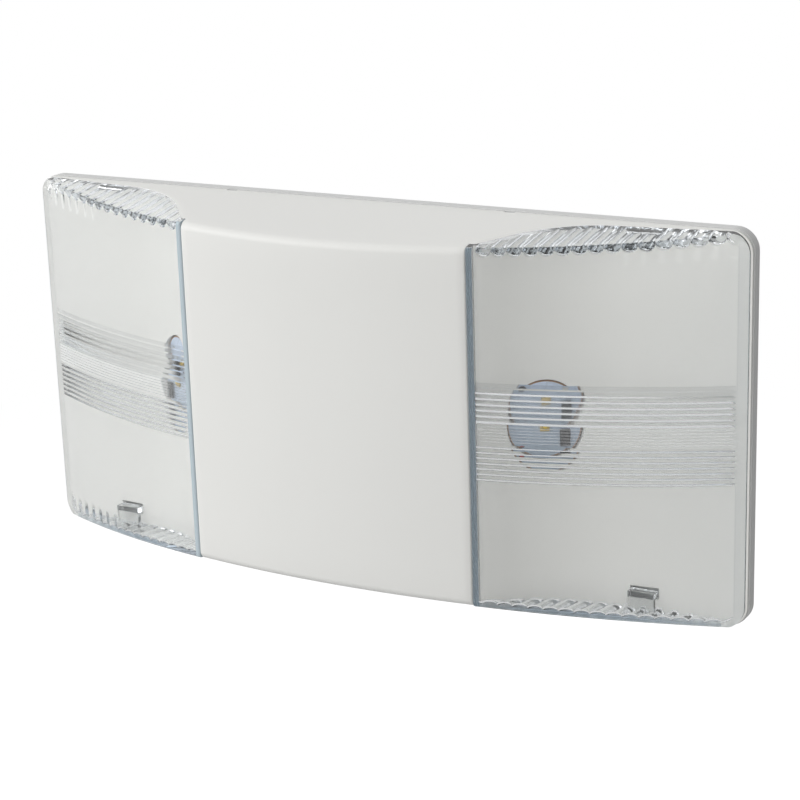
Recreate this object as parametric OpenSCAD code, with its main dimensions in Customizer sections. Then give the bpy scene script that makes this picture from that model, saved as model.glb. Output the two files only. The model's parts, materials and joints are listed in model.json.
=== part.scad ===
// Slim wall-mounted emergency light with two clear lenses and a bowed front.
// Origin at the centre of the back face, +X to the right seen from the front,
// the wall at y = 0, the front towards -Y and +Z up. Millimetres.

/* [Housing] */
// Width of the back tray
body_w = 300; // [284:1:330]
// Height of the back tray
body_h = 143.5; // [138:0.5:160]
// Depth from the wall to the crown of the bowed front
body_d = 46.5; // [44:0.5:52]
// Slope of the top and bottom walls towards the front, in degrees
draft = 9.2; // [6:0.1:10]
// Wall thickness of the moulded shells
wall = 2.4; // [2:0.1:2.8]
// Depth of the back tray
tray_d = 4.4; // [4:0.1:6]
// Corner radius of the back tray
corner_r = 8; // [6:0.5:12]
// Width of the plain panel between the two lenses
panel_w = 117.4; // [114:0.2:124]

/* [Lens pockets] */
// Radius of the hollow reflector, seen from above
pocket_r = 48; // [46:0.5:52]
// Width of the curved stretch of the reflector, from the panel outwards
pocket_run = 42.7; // [41:0.1:44]
// Slope of the flat stretch of the reflector, in degrees
pocket_slope = 5; // [3:0.1:6]

/* [Lenses] */
// Thickness of the lens front
lens_t = 2.6; // [2:0.1:3.2]
// Thickness of the lens's top and bottom walls between the flutes
lens_top_t = 1.5; // [1.2:0.1:2]
// Thickness of the lens's two upright edges
edge_t = 2.4; // [2:0.1:3.2]
// Spacing of the flutes in the top and bottom walls
flute_pitch = 6.6; // [5.8:0.1:8]
// Radius of one flute
flute_r = 2.6; // [2.2:0.1:2.8]
// How far a flute stands proud of the wall
flute_proud = 1.3; // [0.8:0.1:1.6]
// Height of the prism band above the middle of the lens
band_top = 17; // [14:0.5:22]
// Depth of one prism rib
rib_h = 0.8; // [0.4:0.05:1]
// Pitch of the coarse ribs
rib_pitch = 2; // [1.6:0.05:2.4]
// Pitch of the fine ribs
fine_pitch = 1.1; // [0.9:0.05:1.3]

/* [Lamps] */
// Width of the oval lamp window
window_w = 27.6; // [24:0.2:29]
// Height of the oval lamp window
window_h = 34.4; // [30:0.2:38]
// How far the lamps are turned outwards, in degrees
lamp_turn = 35; // [30:0.5:40]
// Thickness of the lamp's circuit board
lamp_board_t = 2.2; // [2:0.1:2.6]
// Thickness of the heat sink's plate
sink_t = 3; // [2:0.1:3.4]

/* [Battery] */
// Radius of one cell
cell_r = 11.2; // [10:0.1:11.6]
// Length of one cell, as a share of the tray's height
cell_share = 0.296; // [0.28:0.002:0.304]
// Number of cells side by side
cell_count = 4; // [3:1:4]

/* [Control board] */
// Width of the control board, as a share of the panel between the lenses
board_w_share = 0.886; // [0.84:0.002:0.91]
// Height of the control board, as a share of the tray's height
board_h_share = 0.46; // [0.44:0.002:0.464]
// Thickness of the control board
board_t = 1.6; // [1:0.1:2]
// Height of the posts under the control board
post_h = 8; // [6:0.5:10]

/* [Test button] */
// Radius of the test button
button_r = 4; // [3:0.1:5]
// How far the test button stands out of the underside
button_proud = 1.4; // [1:0.1:2]
// Travel of the test button
button_travel = 1.2; // [0.8:0.1:1.6]

/* [Wall fixing] */
// Distance between the screw slots, left to right
slot_dx = 200; // [180:1:206]
// Distance between the screw slots, bottom to top
slot_dz = 90; // [80:1:104]
// Half the width of a screw slot
slot_r = 2.25; // [2:0.05:3]
// Length of a screw slot from end to end
slot_l = 12; // [9:0.5:14]

/* [Hidden] */
$fn = 48;
// Segments of the long arcs
arc_fn = 360;
// Overrun of a cut past the face that it opens
over = 1;
// Gap between moulded parts that meet
gap = 0.3;
// Reveal between the tray and the front cover
reveal = 0.2;
// Clearance of a screw in its pilot hole
pilot_gap = 0.05;

// Front cover
cover_step = 0.4;
cover_w = body_w - 2 * cover_step;
cover_h = body_h - 2 * cover_step;
rim_h = 1.2;
rim_d = tray_d + rim_h;
cover_r = corner_r - cover_step;

// Lens outline, seen from above
lens_margin = 0.65;
lens_x = cover_w / 2 - lens_margin;
end_h = 1.4;
front_end_d = rim_d + end_h;
front_sag = body_d - front_end_d;
front_r = (lens_x * lens_x + front_sag * front_sag) / (2 * front_sag);
side_x = panel_w / 2;
pocket_end_h = 0.2;
pocket_tx = side_x + pocket_run;
pocket_td = rim_d + pocket_end_h + (lens_x - pocket_tx) * tan(pocket_slope);
pocket_cx = pocket_tx + pocket_r * sin(pocket_slope);
pocket_cd = pocket_td + pocket_r * cos(pocket_slope);
seat_w = 2 * edge_t;
seat_h = 4.5;
seat_d = front_depth(side_x) - seat_h;

// Prism band
coarse_ribs = 7;
fine_ribs = 7;
low_ribs = 7;
fine_share = 0.45;
rib_tip_share = 0.72;

// Lens hook and latch
hook_off = 8.2;
hook_x = (side_x + lens_x) / 2 + hook_off;
hook_w = 12;
hook_t = 1.5;
hook_l = 3;
hook_drop = 2.35;
hook_room = 1;
hook_block = 3.4;
latch_w = 10;
latch_t = 1.6;
latch_h = 9.5;
latch_off = 1.2;
latch_nose = 1.4;
latch_nose_h = 2.4;

// Screws
screw_r = 1.45;
screw_head_r = 2.7;
screw_head_t = 1.7;
screw_l = 5;
boss_r = 3.4;

// Lamp
lamp_x = pocket_cx - pocket_r * sin(lamp_turn);
lamp_d = pocket_cd - pocket_r * cos(lamp_turn);
window_end_share = 0.835;
lamp_set = 0.4;
lamp_gap = 0.5;
chip_w = 3.4;
chip_t = 0.7;
dome_r = 1.3;
pad_x_share = 0.3;
pad_z_share = 0.24;
lead_r = 0.8;
lead_gap = 0.4;
pad_r = 1.1;
sink_w = 32;
sink_h = 42;
sink_fin_t = 1.4;
sink_fin_l = 4;
sink_fin_shares = [-0.16, -0.06, 0.04];
foot_w = 28;
foot_h = 20;
foot_t = pocket_td - 2 * wall - screw_head_t - 2 * gap;
foot_x_share = 0.36;
leg_w = 9;

// Battery
cell_gap = 0.1;
cell_h = cell_share * body_h;
cell_pitch = 2 * cell_r + 2 * cell_gap;
sleeve_t = 0.5;
sleeve_r = cell_r + cell_gap + sleeve_t;
pack_half = (cell_count - 1) * cell_pitch / 2;
pack_d = wall + sleeve_r;
pack_z_share = 0.1254;
pack_z0 = pack_z_share * body_h;
shelf_t = 2;
shelf_d = 10;
strap_w = 12;
strap_t = 1.2;
strap_foot = 9;
strap_boss_h = 3;
link_t = 0.3;
link_w = 6;
nub_r = 3.6;
can_r = 8.8;
nub_h = 0.8;

// Control board
board_w = board_w_share * panel_w;
board_h = board_h_share * body_h;
board_d = wall + post_h;
board_front = board_d + board_t;
board_gap_share = 0.0794;
board_gap = board_gap_share * body_h;
board_top = pack_z0 - shelf_t - board_gap;
board_z = board_top - board_h / 2;
post_r = 3.2;
post_x_share = 0.46;
post_z_share = 0.44;
sheet_t = 0.4;

// Parts on the control board, as shares of its width and height
core_share = [-0.26, 0.17];
relay_share = [0.02, 0.24];
cap_shares = [[-0.08, -0.1], [0.06, -0.1]];
block_share = [-0.4, -0.3];
fuse_share = [-0.16, -0.28];
chip_share = [0.2, -0.14];
transistor_share = [0.4, -0.06];
resistor_shares = [[0.19, 0.02], [0.19, 0.09], [0.19, 0.16]];
lamp_plug_share = [0.45, 0.24];
battery_plug_share = [0.24, 0.4];

// Test button, switch and indicator, under the middle of the cover
button_x = -10;
pipe_x = 10;
under_d = 16;
button_gap = 0.2;
collar_r = button_r + 1.6;
collar_t = 1;
guide_r = button_r + 2.4;
guide_h = 3;
switch_w = 8;
switch_h = 6;
plunger_r = 1.7;
plunger_out = button_travel;
plunger_in = 2.4;
plunger_gap = 0.08;
pipe_r = 1.5;
pipe_head_r = 2.3;
pipe_head_t = 0.8;

// Cover latches
latch_x = side_x;
finger_w = 10;
finger_t = 2;
notch_w = 4.4;
notch_d = 1.3;
notch_z = 1.4;
knockout_r = 11;
knockout_t = 1;

// Depth of the bowed front at a distance from the middle
function front_depth(x) = body_d - front_r + sqrt(front_r * front_r - x * x);
// Half the height of the cover at a depth
function half_h(d) = cover_h / 2 - tan(draft) * max(0, d - rim_d);

// Depth counts away from the wall: everything is drawn in (x, depth, z)
module deep() mirror([0, 1, 0]) children();
// An outline in (x, depth) drawn up through the height
module upright(h) linear_extrude(height = h, center = true) children();
// An outline in (x, z) drawn along the depth
module along_depth(d0, d1)
    translate([0, d0, 0]) mirror([0, 1, 0]) rotate([90, 0, 0])
        linear_extrude(height = d1 - d0) children();
// An outline in (depth, z) drawn along the width
module along_width(w)
    rotate([90, 0, 90]) linear_extrude(height = w, center = true) children();
// A round post along the depth
module post(x, z, d0, d1, r)
    translate([x, d0, z]) rotate([-90, 0, 0]) cylinder(h = d1 - d0, r = r);
// A box from its lowest corner in x and depth, centred on a height
module slab(x0, x1, d0, d1, z0, z1)
    translate([x0, d0, z0]) cube([x1 - x0, d1 - d0, z1 - z0]);

// Rectangle with round corners
module round_rect(w, h, r) {
    square([w - 2 * r, h], center = true);
    square([w, h - 2 * r], center = true);
    for (x = [-1, 1], z = [-1, 1])
        translate([x * (w / 2 - r), z * (h / 2 - r)]) circle(r);
}

// Oval made of four arcs
module oval(w, h) {
    re = w / 2 * window_end_share;
    rise = h / 2 - re;
    rs = (re * re - w * w / 4 - rise * rise) / (2 * re - w);
    off = rs - w / 2;
    meet = rise + re * rise / norm([off, rise]);
    for (z = [-1, 1]) translate([0, z * rise]) circle(re);
    intersection() {
        translate([-off, 0]) circle(rs);
        translate([off, 0]) circle(rs);
        square([w, 2 * meet], center = true);
    }
}

// Plan of a lens pocket, its boundary set back by t
module pocket_plan(t) {
    far = body_d + pocket_r;
    out = lens_x + corner_r;
    nx = -sin(pocket_slope) * t;
    nd = -cos(pocket_slope) * t;
    drop = (out - pocket_tx) * tan(pocket_slope);
    intersection() {
        union() {
            translate([pocket_cx, pocket_cd]) circle(pocket_r + t, $fn = arc_fn);
            polygon([[pocket_tx + nx, pocket_td + nd],
                [out + nx, pocket_td - drop + nd],
                [out, far], [side_x - t, far], [side_x - t, pocket_cd]]);
            translate([side_x - t, seat_d - t]) square([seat_w + 2 * t, far]);
        }
        translate([side_x - t, 0]) square([out, far]);
    }
}

// Plan of the bowed front, set back by t and cut off at half width x
module front_plan(t, x, d0)
    intersection() {
        translate([0, body_d - front_r]) circle(front_r - t, $fn = arc_fn);
        translate([-x, d0]) square([2 * x, body_d]);
    }

// Space between the sloping top and bottom walls, set back by t
module taper(t) {
    z0 = cover_h / 2 - t;
    z1 = half_h(body_d + over) - t;
    along_width(body_w)
        polygon([[-over, -z0], [rim_d, -z0], [body_d + over, -z1],
            [body_d + over, z1], [rim_d, z0], [-over, z0]]);
}

// Outer form of the front cover, set back by t
module cover_form(t, d0)
    intersection() {
        upright(body_h)
            difference() {
                front_plan(t, cover_w / 2 - t, d0);
                pocket_plan(t);
                mirror([1, 0]) pocket_plan(t);
            }
        taper(t);
        along_depth(-over, body_d + over)
            round_rect(cover_w - 2 * t, cover_h - 2 * t, cover_r - min(t, cover_r / 2));
    }

// Frame of a lamp: its window lies in the local X and Y, and Z points out
module at_lamp(side)
    mirror([side < 0 ? 1 : 0, 0, 0])
        translate([lamp_x, lamp_d, 0]) rotate([-90, 0, -lamp_turn]) children();

// Screw along the depth, its head at depth d
module screw(x, z, d) {
    post(x, z, d - screw_l, d, screw_r);
    post(x, z, d, d + screw_head_t, screw_head_r);
}

// Smooth route through a list of points
function bend(p, i, u) =
    let (a = p[max(i - 1, 0)], b = p[i], c = p[i + 1], e = p[min(i + 2, len(p) - 1)])
    0.5 * (2 * b + (c - a) * u + (2 * a - 5 * b + 4 * c - e) * u * u
        + (3 * b - a - 3 * c + e) * u * u * u);
function route(p, n) =
    concat([for (i = [0 : len(p) - 2], k = [0 : n - 1]) bend(p, i, k / n)], [p[len(p) - 1]]);
function unit(v) = v / norm(v);

// Wire swept along a smooth route, as one closed tube
module wire(points, r, sides = 8, steps = 4) {
    p = route(points, steps);
    n = len(p);
    dir = [for (i = [0 : n - 1]) unit(p[min(i + 1, n - 1)] - p[max(i - 1, 0)])];
    ring = [for (i = [0 : n - 1])
        let (s = unit(cross(dir[i], abs(dir[i][2]) < 0.9 ? [0, 0, 1] : [1, 0, 0])),
            u = cross(s, dir[i]))
        for (k = [0 : sides - 1])
            p[i] + r * (cos(360 * k / sides) * s + sin(360 * k / sides) * u)];
    polyhedron(ring, concat([[for (k = [0 : sides - 1]) k]],
        [for (i = [0 : n - 2], k = [0 : sides - 1])
            [i * sides + k, (i + 1) * sides + k,
                (i + 1) * sides + (k + 1) % sides, i * sides + (k + 1) % sides]],
        [[for (k = [sides - 1 : -1 : 0]) (n - 1) * sides + k]]));
}

// Point in a lamp's frame, given in x, depth and height
function lamp_point(side, a, b, c) =
    [side * (lamp_x + a * cos(lamp_turn) + c * sin(lamp_turn)),
        lamp_d - a * sin(lamp_turn) + c * cos(lamp_turn), -b];
// Point on the control board's front face, given as shares of the board
function board_point(s, d = 0) =
    [s[0] * board_w, board_front + d, board_z + s[1] * board_h];
module at_board(s) translate(board_point(s)) children();
// A box standing on the control board, centred at a share of it
module board_box(s, w, d, h) at_board(s) translate([-w / 2, 0, -h / 2]) cube([w, d, h]);

// Screw slots, centred on the four corners of a rectangle
module screw_slots()
    for (x = [-1, 1], z = [-1, 1])
        translate([x * slot_dx / 2, z * slot_dz / 2]) {
            square([slot_l - 2 * slot_r, 2 * slot_r], center = true);
            for (e = [-1, 1]) translate([e * (slot_l / 2 - slot_r), 0]) circle(slot_r);
        }

// Places of the control board's posts
post_places = [for (x = [-1, 1], z = [-1, 1])
    [x * post_x_share * board_w, board_z + z * post_z_share * board_h]];
pack_x = pack_half + sleeve_r;
pack_z1 = pack_z0 + cell_h;
pack_mid = (pack_z0 + pack_z1) / 2;
pack_end = nub_h + link_t;
strap_screw_x = pack_x + strap_t + gap + strap_foot / 2;
strap_foot_d = wall + strap_boss_h;
foot_x = lamp_x - foot_w * foot_x_share;
foot_places = [for (z = [-1, 1])
    [foot_x + foot_w - screw_head_r - gap, z * (foot_h / 2 - screw_head_r - gap)]];

// Back tray: floor, rim, posts, battery cradle and screw slots
module back_housing() color("whitesmoke") deep()
    difference() {
        union() {
            difference() {
                along_depth(0, tray_d) round_rect(body_w, body_h, corner_r);
                along_depth(wall, tray_d + over)
                    round_rect(body_w - 2 * wall, body_h - 2 * wall, corner_r - wall);
            }
            for (p = post_places) post(p[0], p[1], wall / 2, board_d, post_r);
            for (x = [-1, 1]) post(x * strap_screw_x, pack_mid, wall / 2, strap_foot_d, boss_r);
            for (z = [pack_z0 - pack_end - shelf_t, pack_z1 + pack_end])
                slab(-pack_x, pack_x, wall / 2, shelf_d, z, z + shelf_t);
            for (x = [-1, 1]) {
                cheek = pack_x + gap + shelf_t;
                slab(min(x * cheek, x * (cheek - shelf_t)), max(x * cheek, x * (cheek - shelf_t)),
                    wall / 2, shelf_d, pack_z0 - pack_end - shelf_t, pack_z0 + shelf_d);
            }
        }
        along_depth(-over, wall + over) screw_slots();
        along_depth(-over, wall - knockout_t)
            difference() {
                circle(knockout_r);
                circle(knockout_r - gap - pilot_gap);
            }
        for (p = post_places)
            post(p[0], p[1], board_d - screw_l, board_d + over, screw_r + pilot_gap);
        for (x = [-1, 1])
            post(x * strap_screw_x, pack_mid, wall / 2, strap_foot_d + over,
                screw_r + pilot_gap);
        for (x = [-1, 1], p = foot_places)
            post(x * p[0], p[1], wall / 2, wall + over, screw_r + pilot_gap);
    }

// Height of the underside's inner and outer face where the button goes through
under_out = half_h(under_d);
under_in = under_out - wall;
guide_z = -under_in + guide_h;
button_clear = 0.08;
collar_z = guide_z + button_gap / 2;
plunger_z = collar_z + collar_t + button_gap;
switch_z = plunger_z + plunger_out;

// Front cover: plain bowed panel with a hollow reflector on each side
module front_cover() color("white") deep()
    difference() {
        union() {
            difference() {
                cover_form(0, tray_d + reveal);
                cover_form(wall, -over);
            }
            // Fingers that slip inside the tray's rim
            for (x = [-1, 1], z = [-1, 1]) {
                z1 = body_h / 2 - wall - gap;
                slab(x * latch_x - finger_w / 2, x * latch_x + finger_w / 2,
                    wall + gap, rim_d + finger_w / 2,
                    z > 0 ? z1 - finger_t : -z1, z > 0 ? z1 : finger_t - z1);
            }
            // Guides of the test button and the light pipe
            under = half_h(under_d + guide_r) - gap;
            translate([button_x, under_d, -under]) cylinder(h = guide_z + under, r = guide_r);
            translate([pipe_x, under_d, -under])
                cylinder(h = guide_z + under, r = pipe_head_r + gap);
        }
        for (side = [-1, 1]) {
            at_lamp(side)
                linear_extrude(height = 4 * wall, center = true) oval(window_w, window_h);
            // Openings for the lens's hook and latch
            room = hook_w / 2 + gap;
            slab(side * hook_x - room, side * hook_x + room, tray_d, pocket_floor(hook_x) + over,
                hook_z - hook_t - hook_room, hook_z + 2 * gap + hook_room);
            slab(side * hook_x - latch_w / 2 - gap, side * hook_x + latch_w / 2 + gap,
                tray_d, pocket_floor(hook_x) + over,
                nose_z - hook_room, nose_z + latch_nose_h + hook_room);
            // Release notch in the rear edge of the top wall
            slab(side * latch_x - notch_w / 2, side * latch_x + notch_w / 2,
                tray_d, tray_d + reveal + notch_d, cover_h / 2 - notch_z, cover_h / 2 + over);
        }
        translate([button_x, under_d, -body_h / 2])
            cylinder(h = body_h / 2, r = button_r + button_clear);
        translate([pipe_x, under_d, -body_h / 2]) cylinder(h = body_h / 2, r = pipe_r + pilot_gap);
    }

// Depth of the reflector's face at a distance from the middle
function pocket_floor(x) = x > pocket_tx
    ? pocket_td - (x - pocket_tx) * tan(pocket_slope)
    : pocket_cd - sqrt(pocket_r * pocket_r - pow(pocket_cx - x, 2));
hook_z = half_h(pocket_floor(hook_x)) - hook_drop;
nose_z = -half_h(pocket_floor(hook_x)) + latch_h - latch_nose_h;
// Radius of the lens's inner face, and its centre behind the wall
lens_in_r = front_r - lens_t;
lens_centre = body_d - front_r;

// Clear lens on the right: bowed front, fluted walls, prism band, hook and latch
module lens_right() color("aliceblue", 0.4) deep() {
    floor_d = pocket_floor(hook_x - hook_w / 2) + gap;
    difference() {
        lens_form(0);
        intersection() {
            upright(body_h) lens_room(0);
            taper(lens_top_t);
            lens_corners(edge_t, lens_top_t);
        }
    }
    // Flutes along the top and bottom walls
    intersection() {
        lens_form(0);
        upright(body_h) lens_room(gap);
        lens_corners(edge_t / 2, lens_top_t / 2);
        union() for (z = [-1, 1])
            translate([0, rim_d, z * cover_h / 2]) rotate([-z * draft, 0, 0])
                for (i = [0 : flute_count - 1])
                    translate([flute_x0 + i * flute_pitch, -pocket_r,
                        -z * (lens_top_t + flute_proud - flute_r)])
                        rotate([-90, 0, 0]) cylinder(h = 2 * pocket_r, r = flute_r);
    }
    // Horizontal prism ribs across the middle of the inner face
    intersection() {
        translate([0, lens_centre, 0]) rotate_extrude($fn = arc_fn) prism_band();
        upright(cover_h)
            intersection() {
                pocket_plan(-gap);
                translate([side_x + gap + edge_t / 2, 0])
                    square([lens_x - side_x - gap - edge_t, body_d]);
            }
    }
    // Hook over the cover's top edge, and the springy latch below
    slab(hook_x - hook_w / 2, hook_x + hook_w / 2, floor_d - hook_l - gap,
        floor_d + hook_block, hook_z - hook_t, hook_z);
    slab(hook_x - hook_w / 2, hook_x + hook_w / 2, floor_d, floor_d + hook_block,
        hook_z - hook_t, hook_z + hook_drop - lens_top_t / 2);
    latch_d = floor_d + latch_off;
    latch_base = -half_h(latch_d) + lens_top_t / 2;
    slab(hook_x - latch_w / 2, hook_x + latch_w / 2, latch_d, latch_d + latch_t,
        latch_base, nose_z + latch_nose_h);
    slab(hook_x - latch_w / 2, hook_x + latch_w / 2, floor_d - latch_nose, latch_d + latch_t / 2,
        nose_z, nose_z + latch_nose_h);
}
module lens_left() mirror([1, 0, 0]) lens_right();

flute_count = floor((lens_x - side_x - 2 * edge_t) / flute_pitch);
flute_x0 = (side_x + lens_x - (flute_count - 1) * flute_pitch) / 2;

// Outer form of a lens, flush with the cover
module lens_form(t)
    intersection() {
        upright(body_h)
            intersection() {
                front_plan(t, lens_x, rim_d);
                pocket_plan(-gap);
            }
        taper(t);
        lens_corners(t, t);
    }
module lens_corners(t, tz)
    along_depth(-over, body_d + over)
        round_rect(2 * (lens_x - t), cover_h - 2 * tz, cover_r - min(t, cover_r / 2));
// Room inside a lens, seen from above, its edges drawn out by t
module lens_room(t)
    intersection() {
        translate([0, lens_centre]) circle(lens_in_r + t, $fn = arc_fn);
        translate([side_x + gap + edge_t - t, -over])
            square([lens_x - side_x - gap - 2 * edge_t + 2 * t, body_d]);
    }
// Outline of the prism ribs, in radius and height
module prism_band() {
    r0 = lens_in_r + gap;
    ribs = concat(
        [for (i = [0 : coarse_ribs - 1]) [band_top - i * rib_pitch, rib_pitch, rib_h, rib_tip_share]],
        [for (i = [0 : fine_ribs - 1])
            [band_top - coarse_ribs * rib_pitch - i * fine_pitch, fine_pitch,
                rib_h * fine_share, rib_tip_share]],
        [for (i = [0 : low_ribs - 1])
            [band_top - coarse_ribs * rib_pitch - fine_ribs * fine_pitch - i * rib_pitch,
                rib_pitch, rib_h, 1 - rib_tip_share]]);
    for (b = ribs)
        polygon([[r0, b[0]], [lens_in_r, b[0]], [lens_in_r - b[2], b[0] - b[1] * b[3]],
            [lens_in_r, b[0] - b[1]], [r0, b[0] - b[1]]]);
}

// Oval circuit board of one lamp, set in its window
module led_board(side) color("lightsteelblue") deep() at_lamp(side)
    translate([0, 0, -lamp_set - lamp_board_t])
        linear_extrude(height = lamp_board_t)
            difference() {
                oval(window_w - 2 * lamp_gap, window_h - 2 * lamp_gap);
                for (b = [-1, 1])
                    translate([-pad_x_share * window_w, b * pad_z_share * window_h])
                        circle(pad_r);
            }
module led_board_right() led_board(1);
module led_board_left() led_board(-1);

// Light-emitting chip in the middle of a lamp board
module led_chip(side) color("gold") deep() at_lamp(side) {
    translate([-chip_w / 2, -chip_w / 2, -lamp_set]) cube([chip_w, chip_w, chip_t]);
    translate([0, 0, -lamp_set + chip_t])
        cylinder(h = chip_t, r1 = dome_r, r2 = dome_r / 2);
}
module led_chip_right() led_chip(1);
module led_chip_left() led_chip(-1);

// Protection diode on each lamp board
diode_x_share = 0.26;
diode_z_share = 0.12;
diode_w = 3.6;
diode_h = 6.4;
diode_t = 1.6;
module lamp_diodes() color("dimgray") deep()
    for (side = [-1, 1]) at_lamp(side)
        translate([diode_x_share * window_w - diode_w / 2, diode_z_share * window_h - diode_h / 2,
            -lamp_set])
            cube([diode_w, diode_h, diode_t]);

// Aluminium bracket that carries a lamp board and leads its heat away
module heat_sink(side) color("silver") deep()
    difference() {
        union() {
            at_lamp(side) translate([-sink_w / 2, -sink_h / 2, -lamp_set - lamp_board_t - sink_t]) {
                cube([sink_w, sink_h, sink_t]);
                for (f = sink_fin_shares)
                    translate([sink_w / 2 + f * sink_w - sink_fin_t / 2, 0, -sink_fin_l])
                        cube([sink_fin_t, sink_h, sink_fin_l + sink_t / 2]);
            }
            mirror([side < 0 ? 1 : 0, 0, 0]) {
                slab(foot_x, foot_x + foot_w, wall, wall + foot_t, -foot_h / 2, foot_h / 2);
                slab(lamp_x + leg_off, lamp_x + leg_off + leg_w, wall, leg_top,
                    -foot_h / 2, foot_h / 2);
            }
        }
        at_lamp(side) for (b = [-1, 1])
            translate([-pad_x_share * window_w, b * pad_z_share * window_h, -sink_h / 2])
                cylinder(h = sink_h / 2, r = pad_r);
        for (p = foot_places)
            post(side * p[0], p[1], 0, wall + foot_t + over, screw_r + pilot_gap);
    }
leg_off = -leg_w / 2 - sink_t;
leg_top = lamp_d - lamp_set - lamp_board_t - sink_t;
module heat_sink_right() heat_sink(1);
module heat_sink_left() heat_sink(-1);

// Screws that hold the lamp brackets to the tray
module lamp_screws() color("gainsboro") deep()
    for (x = [-1, 1], p = foot_places) {
        post(x * p[0], p[1], wall / 2, wall + foot_t, screw_r);
        post(x * p[0], p[1], wall + foot_t, wall + foot_t + screw_head_t, screw_head_r);
    }

// Two leads from a lamp board to its plug
plug_w_share = 0.0866;
plug_h_share = 0.091;
plug_w = plug_w_share * board_w;
plug_h = plug_h_share * board_h;
plug_d = 7;
pin_pitch = 2.5;
module lamp_leads(side) color("crimson") deep()
    for (b = [-1, 1]) {
        a = -pad_x_share * window_w;
        z = b * pad_z_share * window_h;
        s = [side * lamp_plug_share[0], lamp_plug_share[1]];
        end = board_point(s, plug_d + lead_gap) + [0, 0, -b * pin_pitch / 2];
        wire([lamp_point(side, a, z, -lamp_set), lamp_point(side, a, z, -lamp_lead_back / 2),
            lamp_point(side, a, z, -lamp_lead_back),
            end + [side * plug_w, plug_d / 2, -b * pin_pitch / 2], end + [0, plug_d / 2, 0], end],
            lead_r);
    }
lamp_lead_back = 14;
module lamp_leads_right() lamp_leads(1);
module lamp_leads_left() lamp_leads(-1);
module lamp_plugs() color("ivory") deep()
    for (side = [-1, 1])
        board_box([side * lamp_plug_share[0], lamp_plug_share[1]], plug_w, plug_d, plug_h);

// Row of upright cells
module battery_cells() color("gray") deep()
    for (i = [0 : cell_count - 1]) translate([-pack_half + i * cell_pitch, pack_d, pack_z0]) {
        cylinder(h = cell_h, r = cell_r);
        translate([0, 0, cell_h]) cylinder(h = nub_h, r = i % 2 == 0 ? nub_r : can_r);
        translate([0, 0, -nub_h]) cylinder(h = nub_h, r = i % 2 == 0 ? can_r : nub_r);
    }
// Stadium outline round the row of cells
module pack_outline(r) {
    translate([-pack_half, pack_d - r]) square([2 * pack_half, 2 * r]);
    for (x = [-1, 1]) translate([x * pack_half, pack_d]) circle(r);
}
// Shrink sleeve round the battery
module battery_sleeve() color("royalblue") deep()
    translate([0, 0, pack_z0 + nub_h]) linear_extrude(height = cell_h - 2 * nub_h)
        difference() {
            pack_outline(sleeve_r);
            pack_outline(sleeve_r - sleeve_t);
        }
// Welded strips that join the cells in series
module cell_links() color("gainsboro") deep()
    for (i = [0 : cell_count - 2]) translate([-pack_half + i * cell_pitch, pack_d, 0]) {
        top = i % 2 == 0;
        z = top ? pack_z1 + nub_h : pack_z0 - nub_h - link_t;
        translate([-link_w / 2, -link_w / 2, z]) cube([cell_pitch + link_w, link_w, link_t]);
    }
// Steel strap over the battery, with a foot on each side
strap_in = sleeve_r + pilot_gap;
module battery_strap() color("silver") deep()
    difference() {
        translate([0, 0, pack_mid]) upright(strap_w) {
            difference() {
                pack_outline(strap_in + strap_t);
                pack_outline(strap_in);
                translate([-body_w / 2, 0]) square([body_w, pack_d]);
            }
            for (x = [0, 1]) mirror([x, 0]) {
                translate([pack_half + strap_in, strap_foot_d]) square([strap_t, pack_d - strap_foot_d]);
                translate([pack_half + strap_in, strap_foot_d])
                    square([strap_screw_x + strap_foot / 2 - pack_half - strap_in, strap_t]);
            }
        }
        for (x = [-1, 1])
            post(x * strap_screw_x, pack_mid, 0, strap_foot_d + strap_t + over, screw_r + pilot_gap);
    }
module strap_screws() color("gainsboro") deep()
    for (x = [-1, 1]) screw(x * strap_screw_x, pack_mid, strap_foot_d + strap_t);

// Two leads from the battery's ends to its plug
lead_step = 7;
module battery_leads() color("black") deep()
    for (side = [-1, 1]) {
        start = [side * pack_half, pack_d, pack_z0 - nub_h - lead_gap];
        mid_z = (pack_z0 + board_top) / 2;
        end = board_point(battery_plug_share, plug_d + lead_gap) + [side * pin_pitch / 2, 0, 0];
        wire([start, [start[0], pack_d, pack_z0 - shelf_t - link_t],
            [start[0] - side * lead_step, pack_d + side * lead_r, mid_z - lead_r * (2 + side)],
            [end[0] + side * lead_step, end[1] + lead_step / 2, mid_z - lead_step / 2],
            end + [0, lead_step / 2, 0], end], lead_r);
    }
module battery_plug() color("ivory") deep()
    board_box(battery_plug_share, plug_w, plug_d, plug_h);

// Control board on four posts
module control_board() color("darkgreen") deep()
    difference() {
        slab(-board_w / 2, board_w / 2, board_d, board_front, board_z - board_h / 2, board_top);
        for (p = post_places) post(p[0], p[1], board_d - over, board_front + over, screw_r + pilot_gap);
    }
module board_screws() color("gainsboro") deep()
    for (p = post_places) screw(p[0], p[1], board_front);

// Insulating sheet on the tray's floor behind the board
sheet_edge = 1.5;
module insulation_sheet() color("lightyellow") deep()
    slab(post_r + sheet_edge - post_x_share * board_w, post_x_share * board_w - post_r - sheet_edge,
        wall, wall + sheet_t, board_z - board_h / 2 + sheet_edge, -knockout_r - sheet_edge);

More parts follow.
